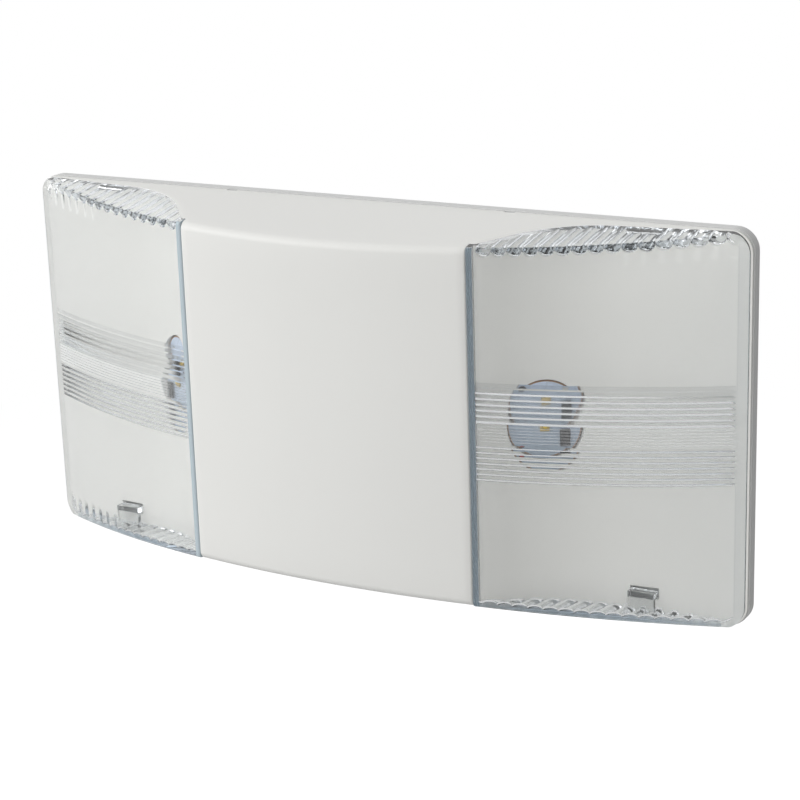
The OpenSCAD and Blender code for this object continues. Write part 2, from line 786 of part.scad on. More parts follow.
// Small transformer: laminated core and wound coil
core_w_share = 0.25;
core_h_share = 0.318;
core_w = core_w_share * board_w;
core_h = core_h_share * board_h;
core_d = 14;
core_off = 3;
core_leg_share = 0.17;
coil_gap = 0.1;
module transformer_core() color("slategray") deep() at_board(core_share) {
    leg = core_w * core_leg_share;
    difference() {
        translate([-core_w / 2, core_off, -core_h / 2]) cube([core_w, core_d, core_h]);
        translate([leg - core_w / 2, 0, leg - core_h / 2])
            cube([core_w - 2 * leg, core_d + core_off + over, core_h - 2 * leg]);
    }
    translate([-leg, core_off, -core_h / 2]) cube([2 * leg, core_d, core_h]);
}
module transformer_coil() color("peru") deep() at_board(core_share) {
    leg = core_w * core_leg_share;
    w = core_w - 2 * leg - 2 * coil_gap;
    h = core_h - 2 * leg - 2 * coil_gap;
    difference() {
        translate([-w / 2, 0, -h / 2]) cube([w, core_d + 2 * core_off, h]);
        translate([-leg - coil_gap, core_off - coil_gap, -core_h / 2])
            cube([2 * (leg + coil_gap), core_d + 2 * coil_gap, core_h]);
    }
}

// Electrolytic capacitors
cap_r_share = 0.048;
cap_r = cap_r_share * board_w;
cap_l = 18;
module capacitors() color("midnightblue") deep()
    for (s = cap_shares) at_board(s) {
        rotate([-90, 0, 0]) cylinder(h = cap_l, r = cap_r);
    }
// Change-over relay
relay_w_share = 0.144;
relay_h_share = 0.288;
relay_w = relay_w_share * board_w;
relay_h = relay_h_share * board_h;
relay_d = 15;
module relay() color("orange") deep() board_box(relay_share, relay_w, relay_d, relay_h);

// Mains terminal block with three clamps
block_w_share = 0.173;
block_h_share = 0.152;
block_w = block_w_share * board_w;
block_h = block_h_share * board_h;
block_d = 11;
clamp_pitch_share = 0.31;
clamp_pitch = clamp_pitch_share * block_w;
clamp_r = 1.6;
clamp_d = 3.6;
clamp_screw_d = 6;
clamp_head_d = 1.5;
module terminal_block() color("seagreen") deep()
    difference() {
        board_box(block_share, block_w, block_d, block_h);
        at_board(block_share) for (i = [-1, 0, 1]) {
            translate([i * clamp_pitch, clamp_d, -block_h]) cylinder(h = block_h, r = clamp_r);
            translate([i * clamp_pitch, clamp_screw_d, 0])
                rotate([-90, 0, 0]) cylinder(h = block_d, r = clamp_r + pilot_gap);
        }
    }
module terminal_screws() color("gainsboro") deep() at_board(block_share)
    for (i = [-1, 0, 1]) translate([i * clamp_pitch, clamp_screw_d, 0])
        difference() {
            rotate([-90, 0, 0]) cylinder(h = block_d - clamp_screw_d - clamp_head_d, r = clamp_r);
            translate([-clamp_r * 2, block_d - clamp_screw_d - 2 * clamp_head_d, -sheet_t])
                cube([clamp_r * 4, clamp_head_d + over, 2 * sheet_t]);
        }

// Glass fuse in two spring clips
fuse_r = 2.6;
fuse_l = 20;
fuse_d = 5;
fuse_cap_share = 0.27;
clip_w = 4.4;
clip_t = 0.6;
module fuse_tube() color("lightcyan") deep() at_board(fuse_share)
    translate([0, fuse_d, 0]) rotate([0, 90, 0]) cylinder(h = fuse_l, r = fuse_r, center = true);
module fuse_clips() color("silver") deep() at_board(fuse_share)
    for (x = [-1, 1]) translate([x * (fuse_l - clip_w) / 2, 0, 0]) difference() {
        out = fuse_r + clip_t;
        translate([-clip_w / 2, 0, -out]) cube([clip_w, fuse_d + fuse_r / 2, 2 * out]);
        translate([0, fuse_d, 0]) rotate([0, 90, 0])
            cylinder(h = fuse_l, r = fuse_r + pilot_gap, center = true);
        translate([-clip_w, fuse_d, -fuse_r * 0.8]) cube([2 * clip_w, fuse_d, fuse_r * 1.6]);
        translate([-clip_w, clip_t, clip_t - out]) cube([2 * clip_w, fuse_d - fuse_r, 2 * fuse_r]);
    }

// Driver chip on eight legs
dip_w = 9.6;
dip_h = 6.4;
dip_d = 3.4;
dip_off = 0.6;
pin_w = 0.5;
module driver_chip() color("dimgray") deep() at_board(chip_share) {
    translate([-dip_w / 2, dip_off, -dip_h / 2]) cube([dip_w, dip_d, dip_h]);
    for (i = [0 : 3], z = [-1, 1])
        translate([(i - 1.5) * pin_pitch - pin_w / 2, 0, z * dip_h / 2 - pin_w])
            cube([pin_w, dip_off + dip_d / 2, 2 * pin_w]);
}

// Power transistor standing on its three legs
tab_w = 10;
tab_t = 1.3;
tab_h = 6.5;
case_h = 9;
case_t = 4.4;
case_off = 4;
module power_transistor() color("dimgray") deep() at_board(transistor_share) {
    translate([-tab_w / 2, case_off, -case_t / 2]) cube([tab_w, case_h, case_t]);
    difference() {
        translate([-tab_w / 2, case_off, -case_t / 2]) cube([tab_w, case_h + tab_h, tab_t]);
        translate([0, case_off + case_h + tab_h / 2, -case_t])
            cylinder(h = 2 * case_t, r = clamp_r);
    }
    for (i = [-1, 0, 1])
        translate([i * pin_pitch - pin_w, 0, -pin_w / 2]) cube([2 * pin_w, case_off + pin_w, pin_w]);
}

// Axial resistors lying on the board
res_r = 1.3;
res_l = 6.6;
res_span = 10;
res_d = 1.6;
module resistors() color("tan") deep()
    for (s = resistor_shares) at_board(s) {
        translate([0, res_d, 0]) rotate([0, 90, 0]) cylinder(h = res_l, r = res_r, center = true);
        translate([0, res_d, 0]) rotate([0, 90, 0])
            cylinder(h = res_span, r = pin_w / 2, center = true);
        for (x = [-1, 1])
            translate([x * (res_span - pin_w) / 2, 0, 0]) rotate([-90, 0, 0])
                cylinder(h = res_d, r = pin_w / 2);
    }

// Indicator lamp at the board's lower edge, above its light pipe
lamp_r = 2.4;
lamp_l = 5;
lamp_flange = 1;
pipe_top = guide_z + pipe_head_t;
module indicator_lamp() color("limegreen") deep() translate([pipe_x, under_d, pipe_top + button_gap]) {
    translate([0, 0, lamp_r]) sphere(r = lamp_r);
    translate([0, 0, lamp_r]) cylinder(h = lamp_l - lamp_r, r = lamp_r);
    translate([0, 0, lamp_l]) cylinder(h = lamp_flange, r = lamp_r + button_proud / 3);
    for (x = [-1, 1]) translate([x * pin_pitch / 2 - pin_w / 2, -pin_w / 2, lamp_l]) {
        cube([pin_w, pin_w, lamp_l]);
        translate([0, board_front - under_d + pin_w / 2, lamp_l - pin_w])
            cube([pin_w, under_d - board_front, pin_w]);
    }
}
module light_pipe() color("honeydew") deep() translate([pipe_x, under_d, 0]) {
    translate([0, 0, -under_out - gap]) cylinder(h = guide_z + under_out + gap, r = pipe_r);
    translate([0, 0, guide_z]) cylinder(h = pipe_head_t, r = pipe_head_r);
}

// Test switch on the board's lower edge, its plunger above the button
module test_switch() color("darkslategray") deep()
    difference() {
        slab(button_x - switch_w / 2, button_x + switch_w / 2, board_front, under_d + switch_w / 2,
            switch_z, switch_z + switch_h);
        translate([button_x, under_d, switch_z - over])
            cylinder(h = over + plunger_in + plunger_out + gap, r = plunger_r + plunger_gap);
    }
module switch_plunger() color("firebrick") deep() translate([button_x, under_d, plunger_z])
    cylinder(h = plunger_out + plunger_in, r = plunger_r);

// Test button in the cover's underside
module test_button() color("crimson") deep() translate([button_x, under_d, 0]) {
    translate([0, 0, -under_out - button_proud])
        cylinder(h = collar_z + under_out + button_proud + collar_t, r = button_r);
    translate([0, 0, collar_z]) cylinder(h = collar_t, r = collar_r);
}

back_housing();
front_cover();
lens_right();
lens_left();
led_board_right();
led_board_left();
led_chip_right();
led_chip_left();
lamp_diodes();
heat_sink_right();
heat_sink_left();
lamp_screws();
lamp_leads_right();
lamp_leads_left();
lamp_plugs();
battery_cells();
battery_sleeve();
cell_links();
battery_strap();
strap_screws();
battery_leads();
battery_plug();
control_board();
board_screws();
insulation_sheet();
transformer_core();
transformer_coil();
capacitors();
relay();
terminal_block();
terminal_screws();
fuse_tube();
fuse_clips();
driver_chip();
power_transistor();
resistors();
indicator_lamp();
light_pipe();
test_switch();
switch_plunger();
test_button();
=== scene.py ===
import json
import math
import bmesh
import bpy
from mathutils import Matrix, Vector


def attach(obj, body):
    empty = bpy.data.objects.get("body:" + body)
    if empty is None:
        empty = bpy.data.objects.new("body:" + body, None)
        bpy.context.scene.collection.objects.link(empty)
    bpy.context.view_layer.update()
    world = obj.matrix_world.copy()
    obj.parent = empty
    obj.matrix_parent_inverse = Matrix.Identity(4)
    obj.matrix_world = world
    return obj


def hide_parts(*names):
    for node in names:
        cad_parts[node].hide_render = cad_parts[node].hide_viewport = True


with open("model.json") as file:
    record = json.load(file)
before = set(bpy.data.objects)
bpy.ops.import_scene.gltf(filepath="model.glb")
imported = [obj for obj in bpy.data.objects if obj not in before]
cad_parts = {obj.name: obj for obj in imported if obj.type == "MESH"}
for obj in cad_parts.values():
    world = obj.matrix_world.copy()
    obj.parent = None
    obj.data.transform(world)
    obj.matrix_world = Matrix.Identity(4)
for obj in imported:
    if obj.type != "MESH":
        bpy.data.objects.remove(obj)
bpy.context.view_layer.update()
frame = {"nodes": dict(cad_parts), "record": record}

# Studio. The camera stands where the photograph was taken, above and to the right of
# the light, which hangs in front of a white backdrop over a pale floor. Soft lamps
# and the room's pale walls light it from the left, the front and above.
MM = 0.001
CAMERA_TURN = math.radians(29.665)
CAMERA_RISE = math.radians(16.601)
CAMERA_ROLL = math.radians(-1.862)
CAMERA_DISTANCE = 806.068 * MM
CAMERA_AIM = Vector((8.634, 0, -5.504)) * MM
CAMERA_LENS = 96.101
SENSOR = 36
FLOOR_DROP = 0.3
FLOOR_SIZE = 12
FLOOR_GLOW = 0.75
WHITE = (1, 1, 1, 1)
ROOM_LEVEL = 0.65
ROOM_EVEN = 0.39
ROOM_WALLS = {  # direction and strength
    "front": ((0, -1, 0), 0.635),
    "left": ((-1, 0, 0), 0.60),
    "above": ((0, 0, 1), 0.10),
    "dark screen on the right": ((1, 0, 0), -0.53),
}
ROOM_EDGE = (-0.1, 0.5)
FLOOR_FADE = (0.35, 1.1)
LAMPS = {  # place, size and power
    "key": ((-1.3, -1.2, 0.9), 1.2, 7.5),
    "side": ((-1.7, -0.3, 0.3), 1.0, 4.0),
    "front": ((0.95, -1.65, 0.5), 1.2, 4.2),
    "top": ((-0.1, -0.3, 1.6), 1.3, 0.6),
}


def material(name):
    """A new material with its tree and its Principled shader."""
    made = bpy.data.materials.new(name)
    made.use_nodes = True
    tree = made.node_tree
    return made, tree, tree.nodes["Principled BSDF"]


def add(tree, kind, **values):
    """A node with its own settings."""
    node = tree.nodes.new(kind)
    for key, value in values.items():
        setattr(node, key, value)
    return node


def feed(tree, target, **sockets):
    """Sets or links a node's inputs. They go by name, with _ for a space, or by n and number."""
    for key, value in sockets.items():
        socket = target.inputs[int(key[1:]) if key[0] == "n" and key[1:].isdigit()
                               else key.replace("_", " ")]
        if isinstance(value, bpy.types.NodeSocket):
            tree.links.new(value, socket)
        else:
            socket.default_value = value
    return target


def maths(tree, operation, *values):
    """The result of one step of arithmetic on numbers and sockets."""
    node = add(tree, "ShaderNodeMath", operation=operation)
    feed(tree, node, **{"n%d" % i: value for i, value in enumerate(values)})
    return node.outputs[0]


def blended(tree, share, first, second):
    """Two shaders blended by a share."""
    return feed(tree, add(tree, "ShaderNodeMixShader"), n0=share, n1=first, n2=second).outputs[0]


def glow(tree, strength):
    """Plain white light."""
    return feed(tree, add(tree, "ShaderNodeEmission"), Color=WHITE, Strength=strength).outputs[0]


def link_object(name, data):
    """A new object in the scene."""
    made = bpy.data.objects.new(name, data)
    bpy.context.scene.collection.objects.link(made)
    return made


def kinds_of_ray(tree):
    """Rays straight from the camera, and those that shine or clear parts pass on from it."""
    path = add(tree, "ShaderNodeLightPath")
    clear = maths(tree, "MAXIMUM", path.outputs["Is Glossy Ray"],
                  path.outputs["Is Transmission Ray"])
    first = maths(tree, "LESS_THAN", path.outputs["Diffuse Depth"], 0.5)
    return path.outputs["Is Camera Ray"], maths(tree, "MULTIPLY", clear, first)


back = Vector((math.sin(CAMERA_TURN) * math.cos(CAMERA_RISE),
               -math.cos(CAMERA_TURN) * math.cos(CAMERA_RISE), math.sin(CAMERA_RISE)))
level = Vector((math.cos(CAMERA_TURN), math.sin(CAMERA_TURN), 0))
upright = level.cross(-back)
right = math.cos(CAMERA_ROLL) * level + math.sin(CAMERA_ROLL) * upright
above = -math.sin(CAMERA_ROLL) * level + math.cos(CAMERA_ROLL) * upright
camera_data = bpy.data.cameras.new("camera")
camera_data.lens = CAMERA_LENS
camera_data.sensor_width = SENSOR
camera_data.clip_start = 0.01
camera = link_object("camera", camera_data)
camera.matrix_world = Matrix.Translation(CAMERA_AIM + CAMERA_DISTANCE * back) @ Matrix(
    (right, above, back)).transposed().to_4x4()
bpy.context.scene.camera = camera
bpy.context.scene.view_settings.view_transform = "Standard"

floor_mesh = bpy.data.meshes.new("floor")
half = FLOOR_SIZE / 2
floor_mesh.from_pydata([(-half, -half, -FLOOR_DROP), (half, -half, -FLOOR_DROP),
                        (half, half, -FLOOR_DROP), (-half, half, -FLOOR_DROP)], [], [(0, 1, 2, 3)])
floor = link_object("floor", floor_mesh)
floor_paint, tree, shader = material("floor_paint")
feed(tree, shader, Base_Color=(0.5, 0.5, 0.5, 1), Roughness=0.9, Specular_IOR_Level=0.1)
camera_ray, clear_ray = kinds_of_ray(tree)
where = add(tree, "ShaderNodeTexCoord")
away = feed(tree, add(tree, "ShaderNodeVectorMath", operation="LENGTH"),
            n0=where.outputs["Object"])
away = feed(tree, add(tree, "ShaderNodeMapRange", interpolation_type="SMOOTHSTEP"),
            Value=away.outputs["Value"], From_Min=FLOOR_FADE[0], From_Max=FLOOR_FADE[1])
near = feed(tree, add(tree, "ShaderNodeAddShader"), n0=shader.outputs[0],
            n1=glow(tree, FLOOR_GLOW))
seen = blended(tree, away.outputs["Result"], near.outputs[0], glow(tree, 1.0))
unseen = blended(tree, clear_ray, shader.outputs[0], glow(tree, ROOM_LEVEL))
feed(tree, tree.nodes["Material Output"], Surface=blended(tree, camera_ray, unseen, seen))
floor.data.materials.append(floor_paint)

# White to the camera. To shine and clear parts the backdrop is white as well and the
# room in front of it dim, which is what draws the lenses' edges. Its walls give soft light.
world = bpy.data.worlds.new("studio")
bpy.context.scene.world = world
world.use_nodes = True
tree = world.node_tree
camera_ray, clear_ray = kinds_of_ray(tree)
where = add(tree, "ShaderNodeTexCoord")
walls = ROOM_EVEN
for name, (towards, strength) in ROOM_WALLS.items():
    facing = feed(tree, add(tree, "ShaderNodeVectorMath", operation="DOT_PRODUCT"),
                  n0=where.outputs["Generated"], n1=towards)
    wall = maths(tree, "MULTIPLY", maths(tree, "MAXIMUM", facing.outputs["Value"], 0.0),
                 strength)
    wall.node.label = name
    walls = maths(tree, "ADD", walls, wall)
part = feed(tree, add(tree, "ShaderNodeSeparateXYZ"), Vector=where.outputs["Generated"])
room = feed(tree, add(tree, "ShaderNodeMapRange", interpolation_type="SMOOTHSTEP"),
            Value=part.outputs["Y"], From_Min=ROOM_EDGE[0], From_Max=ROOM_EDGE[1],
            To_Min=ROOM_LEVEL, To_Max=1.0)
strength = feed(tree, add(tree, "ShaderNodeMix", data_type="FLOAT"),
                n0=clear_ray, n2=walls, n3=room.outputs["Result"])
strength = feed(tree, add(tree, "ShaderNodeMix", data_type="FLOAT"),
                n0=camera_ray, n2=strength.outputs[0], n3=1.0)
feed(tree, tree.nodes["Background"], Color=WHITE, Strength=strength.outputs[0])

for name, (point, size, power) in LAMPS.items():
    lamp_data = bpy.data.lights.new(name, "AREA")
    lamp_data.size = size
    lamp_data.energy = power
    lamp = link_object(name, lamp_data)
    lamp.location = point
    lamp.rotation_euler = Vector(point).to_track_quat("Z", "Y").to_euler()
    lamp.visible_camera = False


# Back tray: a shallow injection moulding in white ABS that is screwed to the wall
# through its four slots. Its posts and bosses carry everything inside.
def body_of(node):
    """The body that a node belongs to."""
    for body, nodes in frame["record"]["behaviour"]["bodies"].items():
        if node in nodes:
            return body


def smooth(mesh, angle=35):
    """Smooth faces, with a crease at edges sharper than the angle."""
    mesh.shade_smooth()
    mesh.set_sharp_from_angle(angle=math.radians(angle))


def made_mesh(bm, name):
    """The mesh that bm holds, as data of its own."""
    mesh = bpy.data.meshes.new(name)
    bm.to_mesh(mesh)
    bm.free()
    return mesh


def rounded(node, width, angle=30, crease=35):
    """A copy of a CAD node's mesh with its sharp edges rounded by the width."""
    bm = bmesh.new()
    bm.from_mesh(frame["nodes"][node].data)
    bmesh.ops.remove_doubles(bm, verts=bm.verts, dist=0.002 * MM)
    bmesh.ops.dissolve_limit(bm, angle_limit=math.radians(0.6), verts=bm.verts, edges=bm.edges)
    sharp = [e for e in bm.edges if len(e.link_faces) == 2
             and e.calc_face_angle(0) > math.radians(angle)]
    bmesh.ops.bevel(bm, geom=sharp, offset=width * MM, offset_type="OFFSET", segments=2,
                    profile=0.5, affect="EDGES", clamp_overlap=True)
    mesh = made_mesh(bm, node + "_piece")
    smooth(mesh, crease)
    return mesh


def place(name, mesh, paints, node, sort=None):
    """A piece that stands for a CAD node, rides on its body and hides that node.
    Where it has more than one finish, sort gives the number of each face's finish."""
    made = link_object(name, mesh)
    mesh.materials.clear()
    for paint in paints if isinstance(paints, tuple) else (paints,):
        mesh.materials.append(paint)
    if sort:
        for face in mesh.polygons:
            face.material_index = sort(face)
    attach(made, body_of(node))
    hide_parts(node)
    return made


def dressed(name, node, width, paints, angle=30, crease=35, sort=None):
    """A piece in a CAD node's own shape, with its sharp edges rounded by the width."""
    return place(name, rounded(node, width, angle, crease), paints, node, sort=sort)


def new_group(name, inputs, outputs):
    """A node group with number inputs, and outputs given by name and kind."""
    group = bpy.data.node_groups.new(name, "ShaderNodeTree")
    for label, value in inputs.items():
        made = group.interface.new_socket(name=label, in_out="INPUT",
                                          socket_type="NodeSocketFloat")
        made.default_value = value
    for label, kind in outputs.items():
        group.interface.new_socket(name=label, in_out="OUTPUT", socket_type="NodeSocket" + kind)
    return group, add(group, "NodeGroupInput").outputs, add(group, "NodeGroupOutput")


def spot(tree, axis=None):
    """Where a point of the surface is, in metres, or how far it is along one axis."""
    where = add(tree, "ShaderNodeTexCoord").outputs["Object"]
    if axis:
        return feed(tree, add(tree, "ShaderNodeSeparateXYZ"), Vector=where).outputs[axis]
    return where


# The group for moulded grain: fine bumps, with faint clouds in tone and shine
grain, given, result = new_group(
    "moulded_grain", {"Scale": 900.0, "Depth": 0.1, "Roughness": 0.4, "Spread": 0.08},
    {"Roughness": "Float", "Normal": "Vector", "Cloud": "Float"})
where = spot(grain)
fine = feed(grain, add(grain, "ShaderNodeTexNoise"), Vector=where, Scale=given["Scale"],
            Detail=3.0)
cloud = feed(grain, add(grain, "ShaderNodeTexNoise"), Vector=where, Scale=14.0, Detail=2.0)
bump = feed(grain, add(grain, "ShaderNodeBump"), Height=fine.outputs["Fac"],
            Strength=given["Depth"], Distance=0.0001)
middle = maths(grain, "SUBTRACT", cloud.outputs["Fac"], 0.5)
feed(grain, result, Normal=bump.outputs["Normal"], Cloud=cloud.outputs["Fac"],
     Roughness=maths(grain, "MULTIPLY_ADD", middle, given["Spread"], given["Roughness"]))


def mixed(tree, share, low, high):
    """Two colours blended by a share."""
    node = add(tree, "ShaderNodeMix", data_type="RGBA")
    for key, value in (("n6", low), ("n7", high)):
        if not isinstance(value, bpy.types.NodeSocket) and len(value) == 3:
            value = tuple(value) + (1,)
        feed(tree, node, **{key: value})
    feed(tree, node, n0=share)
    return node.outputs[2]


def tinted(tree, share, colour, shift):
    """A colour that gets a little darker and lighter by a share."""
    return mixed(tree, share, [c * (1 - shift) for c in colour],
                 [min(1, c * (1 + shift)) for c in colour])


def grained(name, scale, depth, roughness, spread, **settings):
    """A material with the moulded grain in its shine and surface, and the grain's outputs."""
    paint, tree, shader = material(name)
    texture = feed(tree, add(tree, "ShaderNodeGroup", node_tree=grain), Scale=scale, Depth=depth,
                   Roughness=roughness, Spread=spread).outputs
    feed(tree, shader, Roughness=texture["Roughness"], Normal=texture["Normal"], **settings)
    return paint, tree, shader, texture


def moulded(name, colour, roughness=0.4, depth=0.12, scale=900.0, **settings):
    """Moulded plastic: a colour with faint clouds over fine grain."""
    paint, tree, shader, texture = grained(name, scale, depth, roughness, 0.08, **settings)
    feed(tree, shader, Base_Color=tinted(tree, texture["Cloud"], colour, 0.02))
    return paint


# Painted shade: the tray is the same white moulding as the cover, given a greyer white so that its
# side in the shade comes out darker
tray_shaded_white = moulded("tray_shaded_white", (0.66, 0.665, 0.66), roughness=0.42)
tray = dressed("back_tray", "back_housing", 0.35, tray_shaded_white)
tray.modifiers.new("flat_shading", "WEIGHTED_NORMAL").keep_sharp = True


# Front cover: one bowed moulding in fine-grained white ABS. The two wings curve in
# to form the reflectors, and fingers at top and bottom clip it to the tray.
COVER_HALF = 149.6
COVER_TOP = 71.35
COVER_CORNER = 7.6
COVER_REAR = 4.6
RIM_DEPTH = 5.6
INSIDE_REAR = -1.0
INSIDE_ROUND = 1.2
WING_ROUND = 0.3
CROWN = 46.49
LENS_END = 148.95
LENS_END_DEPTH = 7.0
SLOPE = math.tan(math.radians(9.2))
SIDE = 58.7
SEAT = 2.3  # the level strip behind the lens's inner wall
SEAT_BACK = 4.8
SEAT_LEAD = 1.13  # slope of the lead-in beside it
SEAT_END = 10.0
SEAT_DROP = 4.5
POCKET_R = 48.0
POCKET_TURN = math.radians(5)
POCKET_FLAT = SIDE + 42.7
WALL = 2.4
GAP = 0.3
FRONT_ROUND = 3.2
EDGE_ROUND = 0.5
PANEL_STEPS = 22
STEP = 1.3  # least distance between two sections of a wing
STEP_X = 0.35
CLOSE_STEPS = 12  # every section is kept this near its end
SAG = CROWN - LENS_END_DEPTH
FRONT_R = (LENS_END ** 2 + SAG ** 2) / (2 * SAG)
FLAT_DEPTH = RIM_DEPTH + 0.2 + (LENS_END - POCKET_FLAT) * math.tan(POCKET_TURN)
POCKET_X = POCKET_FLAT + POCKET_R * math.sin(POCKET_TURN)
POCKET_D = FLAT_DEPTH + POCKET_R * math.cos(POCKET_TURN)
HOOK_X = (SIDE + LENS_END) / 2 + 8.2
HOOK_FLOOR = FLAT_DEPTH - (HOOK_X - POCKET_FLAT) * math.tan(POCKET_TURN)
HOOK_HALF = 6
HOOK_DROP = 2.35
HOOK_Z = COVER_TOP - SLOPE * (HOOK_FLOOR - RIM_DEPTH) - HOOK_DROP
HOOK_SLOT = (-2.5, 1.6)
LATCH_HALF = 5
NOSE_H = 2.35
NOSE_Z = 7.1 - HOOK_Z - NOSE_H
LATCH_SLOT = (-1, 3.4)
SLOT_DEPTHS = (4.4, 14)
NOTCH_HALF = 2.2
NOTCH_DEPTHS = (4.0, 5.9)
NOTCH_FOOT = COVER_TOP - 1.4
FINGER_HALF = 5
FINGER_DEPTHS = (2.7, 10.6)
FINGER_HEIGHTS = ((67.05, 69.05), (-69.05, -67.05))
BEYOND = 75  # clear of the cover, above and below
SIDES = ((1, "right"), (-1, "left"))


def front_depth(x, inset=0.0):
    """Depth of the bowed front at x, or of a surface inside it."""
    return CROWN - FRONT_R + math.sqrt((FRONT_R - inset) ** 2 - x * x)


def half_height(depth, inset=0.0):
    """Height of the sloping top wall above the middle, at a depth."""
    return COVER_TOP - inset - SLOPE * max(0.0, depth - RIM_DEPTH)


def floor_depth(x, out=0.0):
    """Depth of the reflector's face, or of its back where out is the wall."""
    bend_x = POCKET_FLAT - math.sin(POCKET_TURN) * out
    if x > bend_x:
        depth = FLAT_DEPTH - math.cos(POCKET_TURN) * out - (x - bend_x) * math.tan(POCKET_TURN)
    else:
        depth = POCKET_D - math.sqrt(max(0, (POCKET_R + out) ** 2 - (POCKET_X - x) ** 2))
    seat = front_depth(SIDE) - SEAT_DROP - out
    if out:
        return min(depth, seat) if x < SIDE + SEAT_BACK + out else depth
    return min(depth, seat - SEAT_LEAD * max(0, x - SIDE - SEAT)) if x < SIDE + SEAT_END else depth


def corner(x, edge, top, radius):
    """Half the height at x of a rectangle with round corners."""
    over = abs(x) - (edge - radius)
    return top if over <= 0 else top - radius + math.sqrt(max(0, radius ** 2 - over ** 2))


def spaced(start, end, count):
    """Values in equal steps, with both ends."""
    return [start + (end - start) * i / count for i in range(count + 1)]


def cap_section(rear, front, top, radius, steps=6, flat=14, inset=0.0):
    """Section through the cover, from the lower rear edge round the front to the upper one.
    Points are depth and height; the front edges are rounded by radius."""
    def height(depth):
        return min(top, half_height(depth, inset))
    turn = math.atan(SLOPE)
    radius = max(0.02, min(radius, (front - rear) * 0.45))
    middle_d = front - radius
    middle_z = height(front) + SLOPE * radius - radius / math.cos(turn)
    start = middle_d + radius * math.sin(turn)
    if rear < min(RIM_DEPTH, start) - 0.1:
        depths = [rear] + spaced(min(RIM_DEPTH, (rear + start) / 2), start, 6)[:-1]
    else:
        depths = spaced(rear, start, 7)[:-1]
    upper = [(d, height(d)) for d in depths]
    upper += [(middle_d + radius * math.sin(a), middle_z + radius * math.cos(a))
              for a in spaced(turn, math.pi / 2, steps)]
    edge = upper[-1][1]
    face = [(front, edge * (1 - 2 * i / flat)) for i in range(1, flat)]
    return [(d, -z) for d, z in upper] + [(d, -z) for d, z in face] + list(reversed(upper))


def loft(name, rows):
    """A closed mesh through sections: rows of (x, [(depth, height), ...]) of equal length."""
    bm = bmesh.new()
    rings = [[bm.verts.new((x * MM, -d * MM, z * MM)) for d, z in ring] for x, ring in rows]
    count = len(rings[0])
    for a, b in zip(rings, rings[1:]):
        for i in range(count):
            j = (i + 1) % count
            bm.faces.new((a[i], a[j], b[j], b[i]))
    bm.faces.new(rings[0])
    bm.faces.new(list(reversed(rings[-1])))
    bmesh.ops.recalc_face_normals(bm, faces=bm.faces)
    return made_mesh(bm, name)


def cover_rows(inset):
    """Sections of the cover's outside, or of its inside where inset is the wall."""
    edge, top, side = COVER_HALF - inset, COVER_TOP - inset, SIDE - inset
    rear, radius = (COVER_REAR, FRONT_ROUND) if inset == 0 else (INSIDE_REAR, INSIDE_ROUND)
    rows = [(x, front_depth(x, inset), radius) for x in spaced(0, side - EDGE_ROUND, PANEL_STEPS)]
    turns = [math.pi / 2 * i / 4 for i in range(1, 5)] if inset == 0 else [math.pi / 2]
    rows += [(side - EDGE_ROUND + EDGE_ROUND * math.sin(a),
              front_depth(side, inset) - EDGE_ROUND * (1 - math.cos(a)), radius) for a in turns]
    seat = front_depth(SIDE) - SEAT_DROP - inset
    rows.append((side, seat, WING_ROUND))
    x, last = side + 0.4, (side, seat)
    while x < edge:
        depth = floor_depth(x, inset)
        if math.hypot(x - last[0], depth - last[1]) >= STEP or x > edge - CLOSE_STEPS:
            rows.append((x, depth, WING_ROUND))
            last = (x, depth)
        x += STEP_X
    rows.append((edge, floor_depth(edge, inset), WING_ROUND))
    rings = [(x, cap_section(rear, depth, corner(x, edge, top, COVER_CORNER - inset), r,
                             inset=inset)) for x, depth, r in rows]
    return [(-x, ring) for x, ring in reversed(rings[1:])] + rings


def boolean(target, cutter, operation="DIFFERENCE"):
    """Cuts or joins one mesh with another, exactly, and returns the new mesh."""
    a = link_object("a", target)
    b = link_object("b", cutter)
    change = a.modifiers.new("cut", "BOOLEAN")
    change.object = b
    change.operation = operation
    change.solver = "EXACT"
    made = bpy.data.meshes.new_from_object(
        a.evaluated_get(bpy.context.evaluated_depsgraph_get()))
    for used in (a, b):
        data = used.data
        bpy.data.objects.remove(used)
        bpy.data.meshes.remove(data)
    return made


def prism(outline, low, high, turn=None):
    """A solid from an outline in X and Y, between two values of Z, moved by a matrix."""
    bm = bmesh.new()
    bottom = [bm.verts.new((x * MM, y * MM, low * MM)) for x, y in outline]
    top = [bm.verts.new((x * MM, y * MM, high * MM)) for x, y in outline]
    bm.faces.new(list(reversed(bottom)))
    bm.faces.new(top)
    count = len(outline)
    for i in range(count):
        j = (i + 1) % count
        bm.faces.new((bottom[i], bottom[j], top[j], top[i]))
    if turn is not None:
        bm.transform(turn)
    bmesh.ops.recalc_face_normals(bm, faces=bm.faces)
    return made_mesh(bm, "prism")


def block(x0, x1, d0, d1, z0, z1):
    """A block between two values of x, two depths and two heights."""
    return prism([(x0, -d1), (x1, -d1), (x1, -d0), (x0, -d0)], z0, z1)


def bar(x, half, depths, base, heights):
    """A block to both sides of x, between two depths and two heights over a base."""
    return block(x - half, x + half, *depths, base + heights[0], base + heights[1])


def join(*meshes):
    """Meshes laid together as one."""
    bm = bmesh.new()
    for mesh in meshes:
        bm.from_mesh(mesh)
        bpy.data.meshes.remove(mesh)
    return made_mesh(bm, "joined")


def circle(x, y, radius, count=32):
    """Outline of a round solid for prism."""
    return [(x + radius * math.cos(2 * math.pi * i / count),
             y + radius * math.sin(2 * math.pi * i / count)) for i in range(count)]


